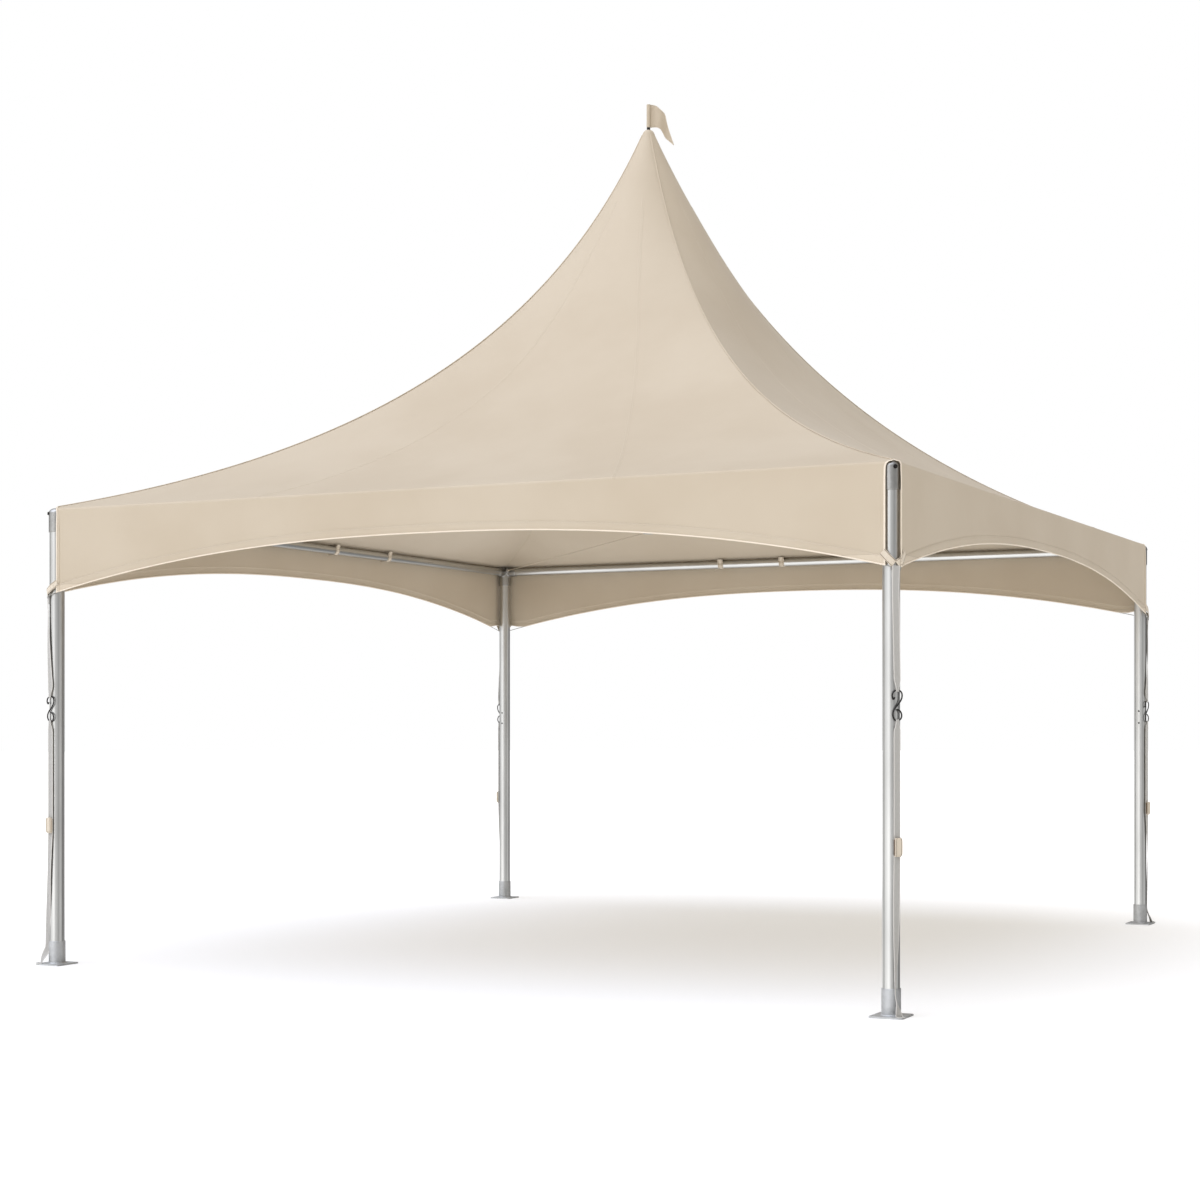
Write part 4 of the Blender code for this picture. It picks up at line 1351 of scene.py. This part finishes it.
# Corner tabs, rings and hem cords
# A strip of webbing is sewn aslant on each lower corner of the valances. Both strips of a corner
# pass round the sloping sides of one wire triangle, where the hems' cords are tied as well.
TAB_WIDTH = 0.033
TAB_THICKNESS = 0.0026
TAB_LIFT = 0.0068  # of its middle off the fabric, which clears the binding
TAB_START = Vector((0.0080, 1.9735))  # inside the valance's end, and height, of its upper end
TAB_LEAST = 0.020  # before the leg's axis, where an end reaches past that
TAB_FLAT = 0.55  # share of its run that lies along the valance
TAB_FLAT_LONG = 0.95  # the same where the valance reaches past the leg's axis
TAB_TURN = 0.4  # share of its run after which it turns to face the ring
TAB_RUN_IN = 0.012  # length that lies flat before the wire, and behind it
TAB_RETURN = 0.013
STITCH_BOX = ((0.07, -1), (0.07, 1), (0.34, 1), (0.34, -1), (0.07, -1))  # share of its run, and side
STITCH_REACH = 0.0100
RING_OUT = 0.0440
RING_HEIGHT = 1.9100  # of the wire's level side
RING_HALF = 0.0220
RING_TALL = 0.0275
RING_WIRE = 0.0046
RING_BEND = 0.0055
HEM_CORD = 0.0042
CORD_STARTS = (0.040, 0.015, 0.0)  # inside the valance's end, where a cord leaves the hem
CUT_STARTS = (0.170, 0.140, 0.115, 0.085, 0.055, 0.030)  # from the leg's axis, at a hem cut off level
CORD_BEND = 0.0060  # beside the leg's axis and above the ring, where such a cord turns down
CORD_TAIL = Vector((-0.002, -0.001, -0.013))  # the end that hangs from a knot
KNOT_RADIUS = 0.0048
KNOT_DROP = 0.0035

tape = Finish("canopy webbing", {"Sheen Weight": 0.15, "Specular IOR Level": 0.3})
tape_run = tape.node("UVMap")
rib = tape.node("TexWave", {"bands_direction": "Y"}, {"Vector": tape_run, "Scale": 250.0, "Distortion": 0.6})
from_tape_middle = tape.node("SeparateXYZ", None, [tape_run], "X").maths("ABSOLUTE")
# A dark line a little in from each edge of the webbing; on the corner tabs it is painted shade that outlines
# them.
tape_edge_shade_line = from_tape_middle.between(0.0112, 0.0122) - from_tape_middle.between(0.0142, 0.0152)
tape_grain = tape.grain(tape.stretched(tape_run, (700.0, 350.0, 1.0)), 1.0, 2.0)
tape_colour = tape.blend(0.5 * rib + 0.5 * tape_grain, paint(196, 183, 163), paint(224, 214, 197))
tape.set({"Base Color": tape.blend(0.85 * tape_edge_shade_line, tape_colour, paint(118, 103, 83))})
tape.set({"Roughness": 0.72 + 0.1 * tape_grain})
tape.relief(rib + 0.6 * tape_grain, 0.00014)


def flat_section(width, thickness, edge=0.0):
    """Section of a woven strap, with slightly thicker edges."""
    half, rim = width / 2, thickness / 2
    full = rim + edge
    upper = [(half, 0.0), (half - 0.0006, full * 0.8), (half - 0.0022, full), (half - 0.005, rim), (0.0, rim)]
    upper += [(-a, b) for a, b in reversed(upper[:-1])]
    return upper + [(a, -b) for a, b in reversed(upper[1:-1])]


def rounded(points, steps=6):
    """A smooth curve through guide points, with a few points to each span."""
    knots = [Vector(point) for point in points]
    path = []
    for index in range(len(knots) - 1):
        before = knots[max(index - 1, 0)]
        start, end = knots[index], knots[index + 1]
        after = knots[min(index + 2, len(knots) - 1)]
        for step in range(steps):
            share = step / steps
            bend = 2 * start + share * (end - before)
            bend += share**2 * (2 * before - 5 * start + 4 * end - after)
            bend += share**3 * (3 * start - before - 3 * end + after)
            path.append(bend / 2)
    return path + [knots[-1]]


across_corner = Matrix(((0, 1, 0, 0), (1, 0, 0, 0), (0, 0, 1, 0), (0, 0, 0, 1)))
outward = Vector((-1, -1, 0)).normalized()
sideways = Vector((1, -1, 0)).normalized()
valance_out = EAVE_HALF - HALF_BAY
ring_base = RING_OUT * outward + Vector((0, 0, RING_HEIGHT))
ring_apex = ring_base + Vector((0, 0, RING_TALL))
ring_foot = ring_base + RING_HALF * sideways
half_turn = [math.pi * step / 8 for step in range(9)]


def softened(corners, bend, steps=5):
    """A closed path through corners, each of which is rounded off from a distance before it."""
    path = []
    for index, corner in enumerate(corners):
        before = corner + bend * (corners[index - 1] - corner).normalized()
        after = corner + bend * (corners[(index + 1) % len(corners)] - corner).normalized()
        for step in range(steps + 1):
            share = step / steps
            path.append((1 - share) ** 2 * before + 2 * share * (1 - share) * corner + share**2 * after)
    return path


def tab_strip(stop):
    """The strip of a valance's end, and the box of stitches that holds it, at the front left leg."""
    bar = (ring_foot + ring_apex) / 2
    off_bar = outward.cross(ring_apex - ring_foot).normalized()
    if off_bar.z < 0:
        off_bar = -off_bar
    wrap = (RING_WIRE + TAB_THICKNESS) / 2
    face = -valance_out - TAB_LIFT
    start = Vector((max(TAB_START.x + stop, TAB_LEAST), face, TAB_START.y))
    finish = bar + wrap * outward + TAB_RUN_IN * off_bar
    flat = TAB_FLAT if stop > 0 else TAB_FLAT_LONG
    guide = [start.lerp(Vector((finish.x, face, finish.z)), share) for share in (0.0, flat / 2, flat)]
    path = rounded([*guide, finish, bar + wrap * outward])
    normals = []
    for step in range(len(path)):
        turn = max(0.0, (step / (len(path) - 1) - TAB_TURN) / (1 - TAB_TURN))
        normals.append(Vector((0, -1, 0)).lerp(outward, turn).normalized())
    for angle in half_turn[1:]:
        lean = math.cos(angle) * outward - math.sin(angle) * off_bar
        path.append(bar + wrap * lean)
        normals.append(lean)
    path.append(path[-1] + TAB_RETURN * off_bar)
    normals.append(-outward)
    mesh = swept("tab", path, normals, flat_section(TAB_WIDTH, TAB_THICKNESS))
    slant = Vector((finish.x - start.x, finish.z - start.z))
    across = Vector((-slant.y, slant.x)).normalized()
    box = []
    for share, way in STITCH_BOX:
        spot = Vector((start.x, start.z)) + share * slant + way * STITCH_REACH * across
        box.append(Vector((spot.x, face - TAB_THICKNESS / 2 - THREAD_RISE, spot.y)))
    return mesh, box


ring_path = softened([ring_foot, ring_apex, ring_base - RING_HALF * sideways], RING_BEND)
ring = swept("ring", ring_path, outward, oval(RING_WIRE, RING_WIRE, 12), loop=True)

tabs, rings, tab_lines = [], [], []
for side, corner in enumerate(CORNERS):
    place = corner_place(corner)
    rings.append((ring, place))
    mesh, box = tab_strip(VALANCE_INSETS[side][0])
    tabs.append((mesh, place))
    tab_lines.append([place @ spot for spot in box])
    mesh, box = tab_strip(VALANCE_INSETS[side - 1][1])
    mesh.transform(across_corner)
    mesh.flip_normals()
    tabs.append((mesh, place))
    tab_lines.append([place @ across_corner @ spot for spot in box])
put_joined("corner_tabs", tabs, tape)
put_joined("corner_rings", rings, dark_steel)
sewn("tab_stitches", tab_lines, repeat=False)

cord = Finish("braided hem cord", {"Specular IOR Level": 0.35})
cord_run = cord.node("UVMap")
braid = cord.node("TexWave", {"bands_direction": "DIAGONAL"}, {"Vector": cord_run, "Scale": 160.0})
cord.set({"Base Color": cord.blend(braid, paint(138, 136, 130), paint(176, 174, 168))})
cord.set({"Roughness": 0.7 + 0.1 * braid})
cord.relief(braid, 0.0004)

knot_spot = ring_foot - Vector((0, 0, KNOT_DROP))
knot_profile = []
for step in range(9):
    angle = math.pi * (step + 0.15) / 8.3
    knot_profile.append((KNOT_RADIUS * math.sin(angle), -1.2 * KNOT_RADIUS * math.cos(angle)))
knot = turned("knot", knot_profile, 16)


def cord_end(stop, cut):
    """The end of a hem's cord, from the hem to its knot on the ring, at the front left leg."""
    starts = CUT_STARTS if cut else [stop + before for before in CORD_STARTS]
    guide = [(before, -valance_out, hem_height(HALF_BAY - before) - HEM_BEAD_DROP) for before in starts]
    if cut:
        guide.append((CORD_BEND, -valance_out, RING_HEIGHT + CORD_BEND))
    path = rounded([*guide, knot_spot, knot_spot + CORD_TAIL])
    bar = swept("cord", path, Vector((0, -1, 0)), oval(HEM_CORD, HEM_CORD, 8))
    return joined("cord", [bar, (knot, Matrix.Translation(knot_spot))], sharp=60)


cords = []
for side, corner in enumerate(CORNERS):
    cords.append((cord_end(VALANCE_INSETS[side][0], (side, -1) in HEM_CUTS), corner_place(corner)))
    other = cord_end(VALANCE_INSETS[side - 1][1], ((side - 1) % 4, 1) in HEM_CUTS)
    other.transform(across_corner)
    other.flip_normals()
    cords.append((other, corner_place(corner)))
put_joined("hem_cords", cords, cord)


# Tie-down straps and hooks
# Below each ring a polyester strap runs down the leg's outward side, through a bent wire hook,
# and on to the base plate. The lower strap's spare end is folded up and bound into a flat bundle.
STRAP_WIDTH = 0.035
STRAP_THICKNESS = 0.0022
STRAP_EDGE = 0.0004
STRAP_RADIUS = 0.0440
STRAP_TOP = RING_HEIGHT
STRAP_LOOP = (RING_WIRE + STRAP_THICKNESS) / 2
STRAP_TOP_RADIUS = RING_OUT + STRAP_LOOP
STRAP_RETURN = 0.045
STRAP_TOP_RUN = 0.10
SWING_TOP = 1.450
SWING_BOTTOM = 0.140
TAIL_BOTTOM = 0.688
TAIL_TOP = 0.756
HOOK_HEIGHT = 1.3235
HOOK_WIRE = 0.0066
HOOK_RETURN = 0.040
HOOK_GRIP = 0.42  # of its width is left of a strap where it passes round the hook
GATHER_START = 0.004  # from the hook's end, where the strap begins to widen again
GATHER_RUN = 0.045
SETTLE_RUN = 0.06  # length after the hook over which the strap comes back in line
FLARE_TOP = 0.105
ANCHOR_RADIUS = 0.080
FOOT_LENGTH = 0.024
FOOT_BEND_HEIGHT = 0.0100  # of the strap's middle, where it turns out to its foot
FOOT_HEIGHT = 0.0096
RIVET_RADIUS = 0.0065
RIVET_HEIGHT = 0.0106
RIVET_PLACE = 0.55  # share of the foot
UPPER_STEPS = 60
LOWER_STEPS = 90
STRAP_SWING = {  # how far each strap and hook has slid round its leg, off the diagonal
    "front_left": math.radians(38),
    "front_right": math.radians(9),
    "back_right": math.radians(-57),
    "back_left": math.radians(40),
}
TWIST_TOP = 0.55
TWIST_LOW = 0.07
STRAP_TWIST = {  # how far each lower strap has turned on itself above its foot
    "front_left": math.radians(55),
    "front_right": math.radians(62),
    "back_right": math.radians(-20),
    "back_left": math.radians(35),
}
HOOK_GUIDE = (  # across and height from the hook's middle
    (-0.012, 0.033),
    (-0.018, 0.025),
    (-0.0245, 0.037),
    (-0.021, 0.052),
    (-0.007, 0.0625),
    (0.010, 0.0625),
    (0.023, 0.053),
    (0.0255, 0.037),
    (0.019, 0.020),
    (0.004, 0.002),
    (-0.011, -0.014),
    (-0.020, -0.031),
    (-0.0195, -0.049),
    (-0.009, -0.063),
    (0.007, -0.065),
    (0.020, -0.056),
    (0.0235, -0.041),
    (0.016, -0.026),
    (0.001, -0.018),
)

webbing = Finish("polyester strap", {"Sheen Weight": 0.2, "Specular IOR Level": 0.35})
strap_run = webbing.node("UVMap")
strap_across = webbing.node("SeparateXYZ", None, [strap_run], "X")
from_middle = strap_across.maths("ABSOLUTE")
selvedge = from_middle.between(0.0125, 0.0140)
ribs = {"Vector": strap_run, "Scale": 130.0, "Distortion": 0.4}
twill = webbing.node("TexWave", {"bands_direction": "DIAGONAL"}, ribs)
lint = webbing.grain(webbing.stretched(strap_run, (420.0, 60.0, 1.0)), 1.0, 3.0)
middle_colour = webbing.blend(lint, paint(160, 158, 153), paint(184, 182, 177))
strap_colour = webbing.blend(selvedge, middle_colour, paint(208, 205, 199))
webbing.set({"Base Color": strap_colour, "Roughness": 0.66 + 0.14 * lint})
webbing.relief(twill + 0.5 * lint, 0.0002)


def outward_place(corner):
    """Puts a piece made with its outward side at +X and the leg's axis at the origin."""
    x, y = CORNERS[corner]
    return Matrix.Translation(leg_axis(corner)) @ Matrix.Rotation(math.atan2(y, x), 4, "Z")


def strap_swing(height, full):
    """Swing of the strap at a height: all of it between the tail and the hook, none at its ends."""
    from_top = (STRAP_TOP - STRAP_TOP_RUN - height) / (STRAP_TOP - STRAP_TOP_RUN - SWING_TOP)
    from_bottom = (height - SWING_BOTTOM) / (TAIL_BOTTOM - SWING_BOTTOM)
    return full * min(max(min(from_top, from_bottom), 0), 1)


def strap(name, stations, full, twist=0.0):
    """A strap through stations of height, distance from the leg's axis and width."""
    path, normals, widths = [], [], []
    for step, (height, radius, width) in enumerate(stations):
        after, before = stations[min(step + 1, len(stations) - 1)], stations[max(step - 1, 0)]
        lean = Vector((before[0] - after[0], 0, after[1] - before[1])).normalized()
        angle = twist * eased(0, 1, (TWIST_TOP - height) / TWIST_TOP) * eased(0, 1, height / TWIST_LOW)
        lean = lean * math.cos(angle) + Vector((0, math.sin(angle), 0))
        turn = Matrix.Rotation(strap_swing(height, full), 3, "Z")
        path.append(turn @ Vector((radius, 0, height)))
        normals.append(turn @ lean)
        widths.append(width)
    return swept(name, path, normals, flat_section(STRAP_WIDTH, STRAP_THICKNESS, STRAP_EDGE), widths=widths)


hook_line = rounded([(across, height, 0) for across, height in HOOK_GUIDE], 7)
hook_path = [Vector((STRAP_RADIUS, spot.x, HOOK_HEIGHT + spot.y)) for spot in hook_line]
hook_mesh = swept("hook", hook_path, Vector((1, 0, 0)), oval(HOOK_WIRE, HOOK_WIRE, 14))
hook_top = HOOK_HEIGHT + max(height for _, height in HOOK_GUIDE)
hook_bottom = HOOK_HEIGHT + min(height for _, height in HOOK_GUIDE)
hook_loop = (HOOK_WIRE + STRAP_THICKNESS) / 2 + STRAP_EDGE


def hook_width(height, end):
    """Share of a strap's width at a height: it is gathered where it passes round the hook."""
    return eased(HOOK_GRIP, 1.0, (abs(height - end) - GATHER_START) / GATHER_RUN)


def round_wire(end, way, radius, loop, length, width):
    """Stations from a strap's short end behind a wire, round the wire, to the strap's front."""
    stations = [(end - way * length * (1 - step / 6), radius - loop, width) for step in range(6)]
    for angle in half_turn:
        stations.append((end + way * loop * math.sin(angle), radius - loop * math.cos(angle), width))
    return stations


hook_turn = (STRAP_RADIUS, hook_loop, HOOK_RETURN, HOOK_GRIP)
upper_stations = round_wire(STRAP_TOP, 1, RING_OUT, STRAP_LOOP, STRAP_RETURN, 1.0)
for step in range(1, UPPER_STEPS):
    height = STRAP_TOP + (hook_top - STRAP_TOP) * step / UPPER_STEPS
    radius = eased(STRAP_RADIUS, STRAP_TOP_RADIUS, (height - STRAP_TOP + STRAP_TOP_RUN) / STRAP_TOP_RUN)
    radius += eased(hook_loop, 0, (height - hook_top) / SETTLE_RUN)
    upper_stations.append((height, radius, hook_width(height, hook_top)))
upper_stations += reversed(round_wire(hook_top, -1, *hook_turn))
lower_stations = round_wire(hook_bottom, 1, *hook_turn)
for step in range(1, LOWER_STEPS + 1):
    height = hook_bottom + (FOOT_BEND_HEIGHT - hook_bottom) * step / LOWER_STEPS
    radius = eased(ANCHOR_RADIUS, STRAP_RADIUS, height / FLARE_TOP)
    radius += eased(hook_loop, 0, (hook_bottom - height) / SETTLE_RUN)
    lower_stations.append((height, radius, hook_width(height, hook_bottom)))
for step in range(1, 5):
    lower_stations.append((FOOT_HEIGHT, ANCHOR_RADIUS + FOOT_LENGTH * step / 4, 1.0))

zinc_colours = (paint(150, 149, 144), paint(198, 197, 192))
zinc = grained("zinc plated steel", {"Metallic": 1.0}, (260.0, 3.0), zinc_colours, (0.30, 0.2), 0.0001)

rivet_profile = [
    (RIVET_RADIUS, 0),
    (RIVET_RADIUS * 0.86, 0.0016),
    (RIVET_RADIUS * 0.5, 0.0028),
    (HAIR, 0.0032),
]
rivet = turned("rivet", rivet_profile, 20)
rivet_spot = Matrix.Translation((ANCHOR_RADIUS + FOOT_LENGTH * RIVET_PLACE, 0, RIVET_HEIGHT))

for corner in CORNERS:
    swing = Matrix.Rotation(STRAP_SWING[corner], 4, "Z")
    mesh = at(hook_mesh, outward_place(corner) @ swing)
    put(f"wire_hook_{corner}", mesh, dark_steel, [f"hook_{corner}"])
    for name, stations in (("upper", upper_stations), ("lower", lower_stations)):
        twist = STRAP_TWIST[corner] if name == "lower" else 0.0
        mesh = strap(f"{name}_webbing", stations, STRAP_SWING[corner], twist)
        mesh.transform(outward_place(corner))
        put(f"{name}_webbing_{corner}", mesh, webbing, [f"{name}_strap_{corner}"])
rivets = [(rivet, outward_place(corner) @ rivet_spot) for corner in CORNERS]
put_joined("strap_rivets", rivets, zinc)


# Strap tails
# The spare end of each lower strap is sewn on in canopy webbing and folded to and fro into a flat
# bundle. A dark strip down one side of it is painted shade: it stands for the shadow on that side.
TAIL_WIDTH = 0.0365
TAIL_DEPTH = 0.0145
TAIL_LAYERS = 5
TAIL_GAP = 0.0006  # between the strap and the bundle
TAIL_INSETS = (0.001, 0.004)  # of the even and the odd layers' folds
TAIL_PINCH = 0.28  # share of its width that the bundle loses at its folds
# The strip of painted shade beside the bundle: where it lies, how thick it is and how far it stands off.
SHADOW_STRIP_SPOTS = (0.25, 0.5, 0.8)  # shares of the bundle's depth
SHADOW_STRIP_THICKNESS = 0.0012
SHADOW_STRIP_GAP = 0.0008


def leans_round(path, axis):
    """Which way a strap faces along a path that runs round an axis."""
    leans = []
    for step in range(len(path)):
        ahead = path[min(step + 1, len(path) - 1)] - path[max(step - 1, 0)]
        leans.append(axis.cross(ahead).normalized())
    return leans


bundle_folds = []
layer_gap = TAIL_DEPTH / TAIL_LAYERS
for layer in range(TAIL_LAYERS):
    out = STRAP_RADIUS + STRAP_THICKNESS / 2 + TAIL_GAP + layer_gap * (layer + 0.5)
    inset = TAIL_INSETS[layer % 2]
    heights = (TAIL_BOTTOM + inset, TAIL_TOP - inset)
    for height in heights if layer % 2 else reversed(heights):
        bundle_folds.append((out, 0, height))
fold_path = rounded(bundle_folds, 8)
fold_leans = leans_round(fold_path, Vector((0, 1, 0)))
tail_middle = (TAIL_BOTTOM + TAIL_TOP) / 2
tail_half = max(abs(spot.z - tail_middle) for spot in fold_path)
fold_widths = [1 - TAIL_PINCH * (abs(spot.z - tail_middle) / tail_half) ** 8 for spot in fold_path]
bundle_section = flat_section(TAIL_WIDTH, layer_gap * 0.8, 0.0002)
bundle = swept("bundle", fold_path, fold_leans, bundle_section, widths=fold_widths)

# Colours of the painted shade on the bundle's side, given to a dark strip that stands just off it.
tail_shadow_colours = (paint(74, 60, 46), paint(116, 98, 78))
tail_shadow_shine = {"Specular IOR Level": 0.25, "Sheen Weight": 0.3}
tail_shadow_finish = grained("painted tail shadow", tail_shadow_shine, (900.0, 3.0), tail_shadow_colours, (0.8, 0.1), 0.0004)

side_path = []
for share in SHADOW_STRIP_SPOTS:
    out = STRAP_RADIUS + TAIL_DEPTH * share
    side_path.append(Vector((out, -TAIL_WIDTH / 2 - SHADOW_STRIP_GAP, tail_middle)))
shadow_strip_section = flat_section(TAIL_TOP - TAIL_BOTTOM, SHADOW_STRIP_THICKNESS)
shadow_strip = swept("shadow_strip", side_path, Vector((0, -1, 0)), shadow_strip_section)
shadow_strips = []
for corner in CORNERS:
    swing = Matrix.Rotation(STRAP_SWING[corner], 4, "Z")
    put(f"strap_tail_{corner}", at(bundle, outward_place(corner) @ swing), tape)
    shadow_strips.append((shadow_strip, outward_place(corner) @ swing))
put_joined("tail_shadow_strips", shadow_strips, tail_shadow_finish)


# Tie loops
# Loops of the canopy's webbing are sewn inside the eave fold and drawn under the rails.
LOOP_WIDTH = 0.038
LOOP_THICKNESS = 0.0018
LOOP_GAP = 0.0006  # between a loop and its rail
LOOP_START = math.radians(20)  # from the level on the inner side, and how far it then goes round
LOOP_ROUND = math.radians(220)
LOOP_SEAM_INSET = 0.003
LOOP_TAIL = ((0.008, 0, 0), (0.026, -0.001, -0.001), (0.044, -0.004, -0.003), (0.058, -0.009, -0.009))
LOOP_TAIL_WIDTH = 0.013
LOOP_SEAMS = (math.radians(8), math.radians(-6), math.radians(-176), math.radians(-190))
LOOP_PLACES = ((0.128, 0.578), (-0.187, -0.773))  # along the front and back, and along the other two

reach = rail_radius + LOOP_THICKNESS / 2 + LOOP_GAP
rail_line = Vector((0, -HALF_BAY, RAIL_HEIGHT))
loop_points = [rail_line + Vector((0, reach + 0.006, rail_radius + 0.009))]
for step in range(13):
    angle = LOOP_START - LOOP_ROUND * step / 12
    loop_points.append(rail_line + reach * Vector((0, math.cos(angle), math.sin(angle))))
loop_points.append(rail_line + Vector((0, -reach - 0.004, rail_radius)))
loop_path = rounded(loop_points, 4)
loop_leans = leans_round(loop_path, Vector((1, 0, 0)))
loop_section = flat_section(LOOP_WIDTH, LOOP_THICKNESS, 0.0003)
tie_loop = swept("tie_loop", loop_path, loop_leans, loop_section)
tail_path = rounded([(along, out, up - reach) for along, out, up in LOOP_TAIL])
tail_path = [rail_line + spot for spot in tail_path]
tail_section = flat_section(LOOP_TAIL_WIDTH, LOOP_THICKNESS)
loop_tail = swept("loop_tail", tail_path, Vector((0, -0.2, -1)), tail_section)
tie_loop = joined("tie_loop", [tie_loop, loop_tail])

loops, loop_lines = [], []
for side in range(4):
    for place in LOOP_PLACES[side % 2]:
        loops.append((tie_loop, side_turn(side) @ Matrix.Translation((place, 0, 0))))
        for angle in LOOP_SEAMS:
            lean = Vector((0, math.cos(angle), math.sin(angle)))
            spot = rail_line + (reach + LOOP_THICKNESS / 2 + THREAD_RISE) * lean
            half = LOOP_WIDTH / 2 - LOOP_SEAM_INSET
            ends = (place - half, place + half)
            loop_lines.append([side_turn(side) @ (spot + Vector((x, 0, 0))) for x in ends])
put_joined("tie_loops", loops, tape)
sewn("loop_stitches", loop_lines, repeat=False)


# Flagpole and pennant
# A short aluminium rod stands in the peak. The pennant is a doubled piece of canopy fabric, sewn
# into a sleeve at the rod, and its fly falls in a soft fold.
FLAG_HEADING = math.radians(25)
FLAG_HOIST = 0.130
SLEEVE = 0.0115
COLLAR_RADIUS = 0.0100
COLLAR_TALL = 0.014
COLLAR_SEAT = 0.0006  # of its lower edge above the peak
ROD_EDGE = 0.002  # broken off the rod's and the collar's upper edge
EDGING = 0.0034
FLY_FOLD = 0.006  # how far the fly hangs off the plumb, in its folds and in finer ripples
FLY_RIPPLE = 0.004
PENNANT_THICKNESS = 0.0016
PENNANT_STRIPS = 12
FLAG_UPPER_EDGE = (  # out from the rod, and down from the hoist's top
    (0.0105, 0.0),
    (0.040, 0.006),
    (0.063, 0.025),
    (0.092, 0.054),
    (0.102, 0.096),
    (0.113, 0.136),
    (0.144, 0.232),
)
FLAG_LOWER_EDGE = (
    (0.0105, 0.130),
    (0.040, 0.128),
    (0.063, 0.136),
    (0.076, 0.150),
    (0.096, 0.186),
    (0.118, 0.208),
    (0.143, 0.233),
)

flagpole_low, flagpole_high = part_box("flagpole")
flag_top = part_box("flag")[1].z
flagpole_radius = flagpole_high.x
flagpole_bore = flagpole_radius + HAIR
flagpole_profile = [
    (flagpole_radius, flagpole_low.z),
    (flagpole_radius, flagpole_high.z - ROD_EDGE),
    (flagpole_radius - ROD_EDGE, flagpole_high.z),
    (0.0005, flagpole_high.z),
]
put("flagpole_rod", turned("flagpole_rod", flagpole_profile, 24), aluminium, ["flagpole"])

collar_profile = [
    (flagpole_bore, PEAK_HEIGHT + COLLAR_SEAT),
    (COLLAR_RADIUS, PEAK_HEIGHT + COLLAR_SEAT),
    (COLLAR_RADIUS, PEAK_HEIGHT + COLLAR_TALL - ROD_EDGE),
    (COLLAR_RADIUS - ROD_EDGE, PEAK_HEIGHT + COLLAR_TALL),
    (flagpole_bore, PEAK_HEIGHT + COLLAR_TALL),
]
put("pole_collar", turned("pole_collar", collar_profile, 24, loop=True), dark_steel)

upper_edge = rounded([(out, drop, 0) for out, drop in FLAG_UPPER_EDGE], 5)
lower_edge = rounded([(out, drop, 0) for out, drop in FLAG_LOWER_EDGE], 5)
flag_rows, flag_charts = [], []
for up, down in zip(upper_edge, lower_edge):
    row, chart = [], []
    for step in range(PENNANT_STRIPS + 1):
        spot = up.lerp(down, step / PENNANT_STRIPS)
        sway = FLY_FOLD * math.sin(spot.x * 75) * min(1, spot.x / 0.05)
        sway += FLY_RIPPLE * math.sin(spot.y * 38 + spot.x * 20) * spot.x / 0.14
        row.append(Vector((spot.x, sway, flag_top - spot.y)))
        chart.append((spot.x, spot.y))
    flag_rows.append(row)
    flag_charts.append(chart)
fly = skin("fly", flag_rows, ring=False, charts=flag_charts, sharp=80)
fly.transform(Matrix.Rotation(FLAG_HEADING, 4, "Z"))
pennant = put("pennant", fly, fabric, ["flag"])
doubled = pennant.modifiers.new("cloth", "SOLIDIFY")
doubled.thickness = PENNANT_THICKNESS
doubled.offset = 0
edging_parts = []
for column in (0, -1):
    line = [row[column] for row in flag_rows]
    edging_parts.append(swept("edging", line, Vector((0, 1, 0)), oval(EDGING, EDGING, 8)))
edging = joined("pennant_edging", edging_parts)
edging.transform(Matrix.Rotation(FLAG_HEADING, 4, "Z"))
flag_edging = put("pennant_edging", edging, tape)
sleeve_profile = [
    (flagpole_bore, flag_top - FLAG_HOIST),
    (SLEEVE - 0.0008, flag_top - FLAG_HOIST),
    (SLEEVE, flag_top - FLAG_HOIST + 0.003),
    (SLEEVE - HAIR, flag_top - FLAG_HOIST / 2),
    (SLEEVE, flag_top - 0.003),
    (SLEEVE - 0.0008, flag_top),
    (flagpole_bore, flag_top),
]
sleeve = turned("pennant_sleeve", sleeve_profile, 24, loop=True)
flag_sleeve = put("pennant_sleeve", sleeve, fabric)
